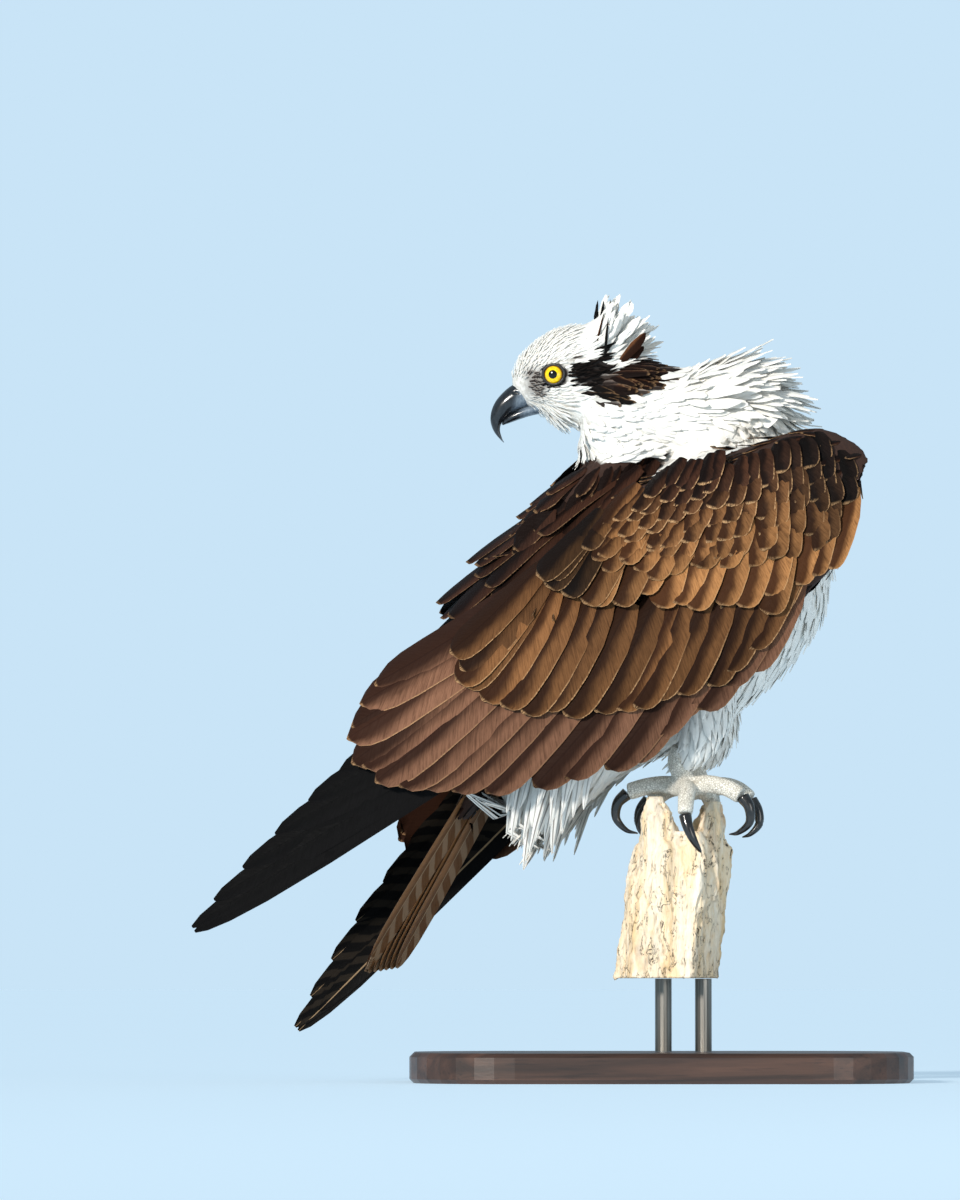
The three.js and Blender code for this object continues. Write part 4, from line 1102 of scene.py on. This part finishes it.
def flight_rows(brown, dark, wing):
    """The ten primaries of the hand, and the secondaries and tertials of the arm."""
    count = 10
    t = np.linspace(0, 1, count)
    tips = curve(PRIMARY_TIPS, t) * np.array([wing.length, 1])
    roots = np.stack([mix(132, 56, t), mix(-21, -20, t)], -1)
    add_wing_row(
        dark, wing, "flight", roots, tips, mix(8.4, 13.5, t), -6.4 - 1.2 * (1 - t),
        tones(NEAR_BLACK, count, 0.1), lean=4, sink=1.5, lift=0.3, bars=0.0 if wing.side < 0 else 0.03,
    )
    count = 20
    t = np.linspace(0, 1, count)
    tips = row_points(SECONDARY_TIPS, count, 2.0)
    slant = np.interp(t, [0, 0.3, 0.5, 0.75, 1], [29, 20, 13, 4, -3]) + chance.normal(0, 1.0, count)
    roots = back_from(tips, np.interp(t, [0, 0.25, 0.5, 0.8, 1], [72, 100, 140, 175, 165]), slant)
    inner = smooth(t, 0.45, 0.85)
    outer_tone = tones(DUSKY_BROWN * 1.15, count, 0.2)
    shade = mix(outer_tone, tones(DUSKY_BROWN * 1.4, count, 0.2), inner[:, None])
    add_wing_row(
        brown, wing, "broad", roots, tips, mix(12.5, 15.5, t), 0.0, shade, edge=mix(0.25, 0.7, inner), bow=-3,
    )


def lesser_rows(feathers, wing):
    """Nine rows of small coverts above the median ones, darker and finer towards the wing's top."""
    for k in range(9):
        share = k / 8
        base = curve(MEDIAN_ROOTS, np.linspace(-0.06, 1, 18).clip(0, 1))
        base[0] -= (9, 2)
        flow = downwards(np.radians(mix(68, 22, smooth(base[:, 0] - 5 * k, -10, 130))))
        roots = base - flow * (8.2 * k - 3) + chance.normal(0, 1.0, base.shape)
        roots = roots[(roots[:, 0] > 5) & (roots[:, 1] < np.interp(roots[:, 0], *LESSER_TOP))]
        count = len(roots)
        turn = np.radians(mix(74, 22, smooth(roots[:, 0], -10, 125)) + chance.normal(0, 5, count))
        tips = roots + downwards(turn) * (mix(27, 18, share) * chance.uniform(0.9, 1.1, (count, 1)))
        roots, tips = inside_front(roots, tips)
        count = len(roots)
        lead = smooth(roots[:, 0], 58, 12)
        upper = mix(WARM_BROWN * 1.1, DARK_BROWN, smooth(share, 0.1, 0.7))
        upper_tone = tones(upper, count, 0.3)
        shade = mix(upper_tone, tones(BLACK_BROWN, count), lead[:, None])
        add_wing_row(
            feathers, wing, "scale", roots, tips, mix(9.5, 7, share), 7.0 - 4.0 * lead, shade, lean=13,
            edge=mix(0.5, 1.0, smooth(share, 0, 0.4)) * (1 - 0.45 * lead), lift=2.2,
        )


def wrist_rows(feathers, wing):
    """The wrist's own dark pointed feathers, which break the wing's front outline."""
    for k in range(3):
        roots = row_points(WRIST_FRONT, WRIST_COUNT, 1.5) + np.array([5.0 * k, 0])
        turn = np.radians(mix(84, 58, np.linspace(0, 1, WRIST_COUNT)) + chance.normal(0, 8, WRIST_COUNT))
        tips = roots + downwards(turn) * chance.uniform(14, 19, (WRIST_COUNT, 1))
        roots, tips = inside_front(roots, tips)
        add_wing_row(
            feathers, wing, "pointed", roots, tips, 4.2, 0.5 + 0.8 * k, tones(BLACK_BROWN, len(roots), 0.3),
            edge=0.12, lean=12, lift=1.8,
        )


def dress_wing(wing):
    brown, dark = Feathers(), Feathers()
    flight_rows(brown, dark, wing)
    covert_row(
        brown, wing, GREATER_TIPS, 19, (2.5, 2.0), [34, 29, 22, 12], 78, ([0, 0.15, 1], [7.5, 11, 14]),
        (mix(BROWN, WARM_BROWN, 0.6) * 0.85, 0.4), layer=3.4, edge=0.75, lean=10, bow=-3,
    )
    covert_row(
        brown, wing, MEDIAN_TIPS, 18, (3.0, 3.0), [42, 38, 30, 18], 50, ([0, 0.2, 1], [6.5, 10, 12.5]),
        (WARM_BROWN * 1.3, 0.35), layer=6.0, edge=0.6, lean=11, bow=-2,
    )
    lesser_rows(brown, wing)
    wrist_rows(brown, wing)
    brown.made("wing_coverts_" + wing.name, brown_paint, "brown_feathers", (f"wing_{wing.name}_arm",))
    dark.made("primaries_" + wing.name, quill_paint, "dark_feathers", (f"wing_{wing.name}_hand",))


# Long feathers of the shoulders, over the back between the wings.
def free_lines(roots, tips, normals, droop, steps=7):
    t = np.linspace(0, 1, steps + 1)[None, :, None]
    arch = np.asarray(droop, float).reshape(-1, 1, 1) * np.sin(np.pi * t)
    normals = unit(normals)
    centre = roots[:, None] * (1 - t) + tips[:, None] * t + normals[:, None] * arch
    return centre, np.broadcast_to(normals[:, None], centre.shape).copy()


# Rows of the shoulders' feathers: how many, the inmost one's root and tip in x and z, how far the roots
# reach to the side, half width and droop.
SHOULDER_ROWS = [
    (5, (-18, 373), (-66, 354), (14, 40), 12, 3), (6, (-26, 372), (-98, 340), (14, 48), 12.5, 3),
    (6, (-44, 360), (-130, 312), (12, 48), 13, 4), (6, (-60, 346), (-150, 286), (8, 46), 12.5, 3),
    (5, (-78, 328), (-156, 262), (6, 42), 12, 2),
]


def shoulders(feathers, side):
    for r, (count, root, tip, reach, half, droop) in enumerate(SHOULDER_ROWS):
        t = np.linspace(0, 1, count)
        y = mix(reach[0], reach[1], t)
        drop = 0.006 * y * y
        roots = np.stack([root[0] + 6 * t, side * y * 0.8, root[1] - drop * 0.6 + 4 - 0.8 * r], -1)
        tips = np.stack([tip[0] + 26 * t, side * (y + 4), tip[1] - drop - 16 * t], -1)
        tips = tips + chance.normal(0, 3.0, tips.shape)
        normals = np.stack([np.full(count, -0.4), side * (0.4 + 0.5 * t), np.full(count, 0.66)], -1)
        centre, normal = free_lines(roots, tips, normals, np.full(count, droop))
        place = np.stack([np.full(count, r / 5), 0.5 + side * t * 0.4], -1)
        feathers.add(
            "broad", centre, normal, half, tones(DARK_BROWN, count, 0.3), "mantle", place,
            lean=side * np.radians(9), ragged=0.05, flip=-side, edge=0.35,
        )


TAIL = {"reach": (-83, -133), "length": 158, "twist": 16, "spread": 6.2, "half": 10.5, "count": 12}


def tail_feathers():
    feathers = Feathers()
    axis = unit([TAIL["reach"][0], 0, TAIL["reach"][1]])
    twist = math.radians(TAIL["twist"])
    level = np.array([0.0, 1.0, 0.0])
    back = unit(np.cross(axis, level))
    back = back if back[0] < 0 else -back
    across = level * math.cos(twist) - back * math.sin(twist)
    face = back * math.cos(twist) + level * math.sin(twist)
    count = TAIL["count"]
    k = np.arange(count) - (count - 1) / 2
    rank = np.abs(k) - 0.5
    lift = -1.35 * rank - np.where(k > 0, 0.65, 0)
    roots = TAIL_ROOT + across * (k * 1.6)[:, None] + face * (0.5 * lift)[:, None]
    length = TAIL["length"] - 2 * rank
    tips = TAIL_ROOT + axis * length[:, None] + face * lift[:, None]
    tips = tips + across * (k * TAIL["spread"] / 2)[:, None]
    centre, normal = free_lines(roots, tips, np.tile(face, (count, 1)), np.zeros(count))
    place = np.stack([(k + 6) / 12, np.full(count, 0.5)], -1)
    feathers.add(
        "flight", centre, normal, TAIL["half"], tones(WARM_BROWN * 1.35, count, 0.2), "tail", place, edge=0.6,
        bars=np.where(np.abs(k) > 1, 0.35, 0.12),
    )
    return feathers


# The bill.
UPPER_BILL = [
    ((24, -2), (17, -15), 7.5), ((35, -4.6), (27, -18), 7.6), ((42.6, -10.8), (34.8, -21), 6.8),
    ((47.4, -18), (39, -24.6), 5.4), ((48.6, -25), (42.4, -28.8), 3.9), ((47, -31.6), (43.4, -33.2), 2.3),
    ((43.4, -37.4), (42, -37.4), 1.1), ((41.2, -39.8), (40.8, -39.6), 0.5),
]
LOWER_BILL = [
    ((17, -15.5), (19, -22), 6.6), ((27, -18), (26, -24), 6.4), ((34.6, -21), (33.6, -26.6), 5),
    ((39.6, -24.8), (39, -28.6), 3.2), ((42, -28.4), (41.8, -29.6), 1.2),
]


# The nostril's place in the head's x and z, its length and height, how it slopes and how deep it is.
NOSTRIL = {"x": 33.6, "z": -10.4, "length": 2.2, "height": 0.9, "slope": 0.35, "depth": 1.3}


def bill_half(name, pairs, node):
    stations = [
        ((a[0] + b[0]) / 2, 0, (a[1] + b[1]) / 2, half, math.hypot(a[0] - b[0], a[1] - b[1]) / 2)
        for a, b, half in pairs
    ]
    obj = lofted(name, stations, around=40, rings=40, move=lambda p: to_world(from_head(p)))
    h = to_head(from_world(points_of(obj)))
    upper = node == "bill_upper"
    cere = smooth(h[:, 0] + 0.35 * h[:, 2], 31, 26) if upper else smooth(h[:, 0], 34, 27)
    mark_points(obj.data, "cere", cere)
    finer = obj.modifiers.new("finer", "SUBSURF")
    finer.levels = 1
    finer.render_levels = 1
    apply_modifiers(obj)
    h = to_head(from_world(points_of(obj)))
    x, z = h[:, 0] - NOSTRIL["x"], h[:, 2] - NOSTRIL["z"]
    slit = np.hypot(x / NOSTRIL["length"], (z - NOSTRIL["slope"] * x) / NOSTRIL["height"])
    hole = smooth(slit, 1.1, 0.5) * upper
    h[:, 1] -= np.sign(h[:, 1]) * NOSTRIL["depth"] * hole
    set_points(obj, to_world(from_head(h)))
    mark_points(obj.data, "nostril", hole)
    finished(obj, bill_material, (node,))


# The eyes and their lids. A lid ring is a little wider than high, and lies out from the eye's middle.
LIDS = {"radius": 6.1, "thickness": 0.85, "width": 1.06, "height": 0.96, "out": 3.9, "wave": 0.4, "turn": -0.2}


def eye_place(side):
    return np.array([EYE["x"], side * EYE["y"], EYE["z"]])


def eye(name, side):
    fresh_start()
    bpy.ops.mesh.primitive_uv_sphere_add(segments=48, ring_count=32, radius=EYE["radius"])
    obj = new_object("eyeball_" + name)
    co = points_of(obj)
    gaze = unit([0.2, side, -0.03])
    mark_points(obj.data, "gaze", np.arccos(np.clip(unit(co) @ gaze, -1, 1)))
    set_points(obj, to_world(from_head(co + eye_place(side))))
    face_out(obj)
    finished(obj, eye_material, ("eye_" + name,))


def lids(name, side):
    fresh_start()
    bpy.ops.mesh.primitive_torus_add(
        major_radius=LIDS["radius"], minor_radius=LIDS["thickness"], major_segments=48, minor_segments=12
    )
    obj = new_object("lids_" + name)
    co = points_of(obj)
    co = np.stack([co[:, 0] * LIDS["width"], co[:, 2], co[:, 1] * LIDS["height"]], -1)
    angle = np.arctan2(co[:, 2], co[:, 0])
    co[:, 1] = side * (co[:, 1] + LIDS["out"] + LIDS["wave"] * np.sin(angle))
    set_points(obj, to_world(from_head(turned(co, side * LIDS["turn"], eye_place(side)))))
    face_out(obj)
    finished(obj, lid_material)


# Feet, toes and talons: x, y, z and radius. The ankles are alike, one on each side.
ANKLE = [(4, 27, 200, 7), (1, 26, 192, 6.6), (3, 25, 184, 6.2), (6, 24, 177, 6.6)]
FEET = {
    "right": {
        "toes": [
            [(6, -24, 176, 6.2), (18, -26, 178, 5.6), (30, -29, 176, 5.2), (40, -31, 171, 5.2)],
            [(4, -26, 176, 6), (8, -36, 174, 5.4), (9, -44, 168, 5), (9, -47, 160, 4.6)],
            [(4, -24, 176, 6), (-8, -20, 178, 5.4), (-20, -17, 177, 5.2), (-31, -16, 174, 5.2)],
            [(5, -21, 175, 6), (10, -10, 177, 5.2), (14, -3, 173, 5), (16, 1, 167, 4.6)],
        ],
        "talons": [
            [(41, -31, 170, 4), (45, -32, 164, 3.2), (45, -31, 155, 2.5), (38, -29, 149, 1.5),
             (32, -27, 148, 0.4)],
            [(9, -47, 159, 3.8), (11, -49, 152, 3.2), (14, -49, 145, 2.5), (17, -46, 139, 1.4),
             (18, -44, 137, 0.4)],
            [(-32, -16, 173, 4), (-38, -16, 167, 3.2), (-39, -15, 158, 2.5), (-33, -15, 151, 1.5),
             (-26, -14, 149, 0.4)],
            [(16, 1, 166, 3.8), (17, 2, 160, 3), (15, 2, 154, 2.2), (12, 1, 150, 1.3), (10, 0, 149, 0.4)],
        ],
    },
    "left": {
        "toes": [
            [(6, 24, 176, 6.2), (18, 24, 178, 5.6), (28, 22, 176, 5.2), (36, 20, 170, 5.2)],
            [(4, 26, 176, 6), (8, 36, 174, 5.4), (9, 43, 168, 5), (9, 45, 160, 4.6)],
            [(4, 25, 176, 6), (-8, 28, 178, 5.4), (-18, 30, 176, 5.2), (-27, 31, 171, 5.2)],
            [(4, 21, 175, 6), (-4, 12, 177, 5.2), (-12, 6, 175, 5), (-19, 3, 169, 4.6)],
        ],
        "talons": [
            [(37, 20, 169, 4), (41, 19, 163, 3.2), (42, 18, 155, 2.5), (37, 17, 149, 1.5), (32, 17, 147, 0.4)],
            [(9, 45, 159, 3.8), (10, 47, 152, 3.2), (11, 47, 145, 2.5), (12, 43, 139, 1.4), (12, 40, 137, 0.4)],
            [(-28, 31, 170, 4), (-33, 31, 164, 3.2), (-34, 30, 156, 2.5), (-29, 29, 149, 1.5),
             (-24, 28, 148, 0.4)],
            [(-20, 3, 168, 3.8), (-26, 2, 162, 3), (-28, 1, 154, 2.3), (-25, 0, 148, 1.3), (-20, 0, 146, 0.4)],
        ],
    },
}


def foot(name, side):
    pieces = [lofted("shank", [(x, side * y, z, r) for x, y, z, r in ANKLE], around=24, rings=14)]
    pieces += [lofted("toe", toe, (0.3, 0.3, -1), 24, 18) for toe in FEET[name]["toes"]]
    obj = remeshed(joined("scaled_foot_" + name, pieces), FOOT_VOXEL, 6)
    finished(obj, foot_material, ("foot_" + name,))
    for i, points in enumerate(FEET[name]["talons"]):
        claw = lofted(f"claw_{name}_{i + 1}", points, (0.1, 0.3, 1), 20, 24)
        finished(claw, talon_material, (f"talon_{name}_{i + 1}",))


# The perch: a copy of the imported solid, made fine, with its grain raised. Its foot, in the stand, stays flat.
PERCH_FOOT = (57, 62)


def perch():
    fresh_start()
    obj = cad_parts["perch"].copy()
    obj.data = obj.data.copy()
    obj.name = obj.data.name = "splintered_trunk"
    obj.parent = None
    for key in list(obj.keys()):
        del obj[key]
    bpy.context.scene.collection.objects.link(obj)
    face_out(obj)
    remeshed(obj, PERCH_VOXEL, 3)
    normals = numbers(obj.data.vertices, "normal").astype(float)
    p = points_of(obj) / MM

    def lumps(across, along, offset):
        return np.array([noise.noise(Vector((x * across, y * across, z * along + offset))) for x, y, z in p])

    columns = lumps(0.11, 0.012, 0)
    steps = np.floor(lumps(0.22, 0.07, 20) * 5) / 5
    chips = lumps(0.5, 0.22, 40)
    split = smooth(np.abs(lumps(0.16, 0.02, 60)), 0.07, 0.0)
    rise = 3.2 * columns + 1.8 * steps + 0.9 * chips - 1.8 * split - 0.4
    rise = rise * (smooth(np.abs(normals[:, 2]), 0.95, 0.7) * smooth(p[:, 2], *PERCH_FOOT))
    set_points(obj, (p + normals * rise[:, None]) * MM)
    finished(obj, dead_wood_paint(), ("perch",))


def shade_skin(skin):
    p = from_world(points_of(skin))
    shade, _ = body_shade(p, nearest_line(p)[0])
    mark_points(skin.data, "shade", shade * SKIN_SHADOW)
    choose(skin)
    bpy.ops.object.mode_set(mode="EDIT")
    bpy.ops.mesh.select_all(action="SELECT")
    bpy.ops.uv.smart_project(angle_limit=math.radians(66), island_margin=0.002)
    bpy.ops.object.mode_set(mode="OBJECT")
    skin.data.uv_layers[0].name = "OFBake"


bill_material, talon_material, foot_material = bill_paint(), talon_paint(), foot_paint()
eye_material, lid_material = eye_paint(), lid_paint()

skin = flesh()
tree = BVHTree.FromPolygons(
    [tuple(q) for q in points_of(skin)], [tuple(f.vertices) for f in skin.data.polygons], epsilon=0.0
)
sets = coat(skin, tree)
crest_feathers(sets["brown_head"])
shade_skin(skin)
finished(skin, skin_paint(), ("torso", "neck", "head", "leg_right", "leg_left"))
sets["white_head"].made("white_head_coat", white_paint, "white_feathers")
sets["white_body"].made("white_body_coat", white_paint, "white_feathers")
sets["brown_head"].made("brown_head_coat", brown_paint, "brown_feathers")
for side in (1, -1):
    shoulders(sets["brown_body"], side)
sets["brown_body"].made("brown_body_coat", brown_paint, "brown_feathers", ("mantle",))
for wing in wings.values():
    dress_wing(wing)
tail_feathers().made("tail_fan", quill_paint, "brown_feathers", ("tail",))
bill_half("bill_upper_horn", UPPER_BILL, "bill_upper")
bill_half("bill_lower_horn", LOWER_BILL, "bill_lower")
for name, side in (("left", 1), ("right", -1)):
    eye(name, side)
    lids(name, side)
    foot(name, side)
perch()

# The stand keeps its solids, with a wood and a metal finish.
stand_wood, stand_steel = stand_wood_paint(), steel_paint()
for name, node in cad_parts.items():
    if name.startswith("stand_"):
        coated(node, stand_wood if name == "stand_base" else stand_steel)

# Floor, light and camera. The far backdrop is only seen and sheds no light.
SKY = rgba("#c9e4f7")
FLOOR_RADIUS, BACKDROP_RADIUS = 60, 64


def floor():
    fresh_start()
    bpy.ops.mesh.primitive_circle_add(vertices=96, radius=FLOOR_RADIUS, fill_type="NGON", location=(0, 0, 0))
    obj = new_object("studio_floor")
    paint = Paint("pale_floor")
    colour = paint.blend(paint.noise(paint.place(), 0.3, 2.0), "#b2c1cb", "#b4c3cd")
    coated(obj, paint.done(colour, 1.0, Specular_IOR_Level=0.0, Emission_Color=SKY, Emission_Strength=0.5))


def backdrop():
    fresh_start()
    bpy.ops.mesh.primitive_uv_sphere_add(segments=48, ring_count=24, radius=BACKDROP_RADIUS, location=(0, 0, 0))
    obj = new_object("studio_backdrop")
    material = bpy.data.materials.new("pale_backdrop")
    material.use_nodes = True
    nodes = material.node_tree.nodes
    nodes.clear()
    glow = nodes.new("ShaderNodeEmission")
    glow.inputs["Color"].default_value = SKY
    out = nodes.new("ShaderNodeOutputMaterial")
    material.node_tree.links.new(glow.outputs[0], out.inputs[0])
    coated(obj, material)
    for ray in ("diffuse", "glossy", "transmission", "shadow"):
        setattr(obj, "visible_" + ray, False)


def set_up(name, data, place, back):
    """Puts a light or the camera at its place, with its back turned the way given and its top upwards."""
    obj = bpy.data.objects.new(name, data)
    bpy.context.scene.collection.objects.link(obj)
    z = unit(back)
    x = unit(np.cross([0, 0, 1], z))
    y = np.cross(z, x)
    obj.matrix_world = Matrix([[x[i], y[i], z[i], place[i]] for i in range(3)] + [[0, 0, 0, 1]])
    return obj


def lamp(name, kind, place, back, power, colour, **shape):
    light = bpy.data.lights.new(name, kind)
    light.energy = power
    light.color = colour
    for key, value in shape.items():
        setattr(light, key, value)
    set_up(name, light, place, back)


FILL_PLACE, FILL_AIM = np.array([1.9, -2.6, 0.5]), np.array([0.0, 0.0, 0.25])
floor()
backdrop()
lamp("key", "SUN", (0, 0, 0), (-0.5, -0.8, 0.33), 3.4, (1.0, 0.95, 0.88), angle=math.radians(8))
lamp("fill", "AREA", FILL_PLACE, FILL_PLACE - FILL_AIM, 26, (1.0, 0.97, 0.93), shape="DISK", size=1.8)

world = bpy.data.worlds.new("studio_air")
bpy.context.scene.world = world
world.use_nodes = True
background = next(n for n in world.node_tree.nodes if n.type == "BACKGROUND")
background.inputs[0].default_value = SKY
background.inputs[1].default_value = 0.5

CAMERA_PLACE = np.array([-0.108, -5.0, 0.06])
CAMERA_AIM = np.array([-0.108, 0.0, 0.2892])
camera_data = bpy.data.cameras.new("camera")
camera_data.sensor_width = 36
camera_data.lens = 250
camera_data.clip_end = 200
bpy.context.scene.camera = set_up("camera", camera_data, CAMERA_PLACE, CAMERA_PLACE - CAMERA_AIM)
bpy.context.scene.view_settings.view_transform = "Standard"
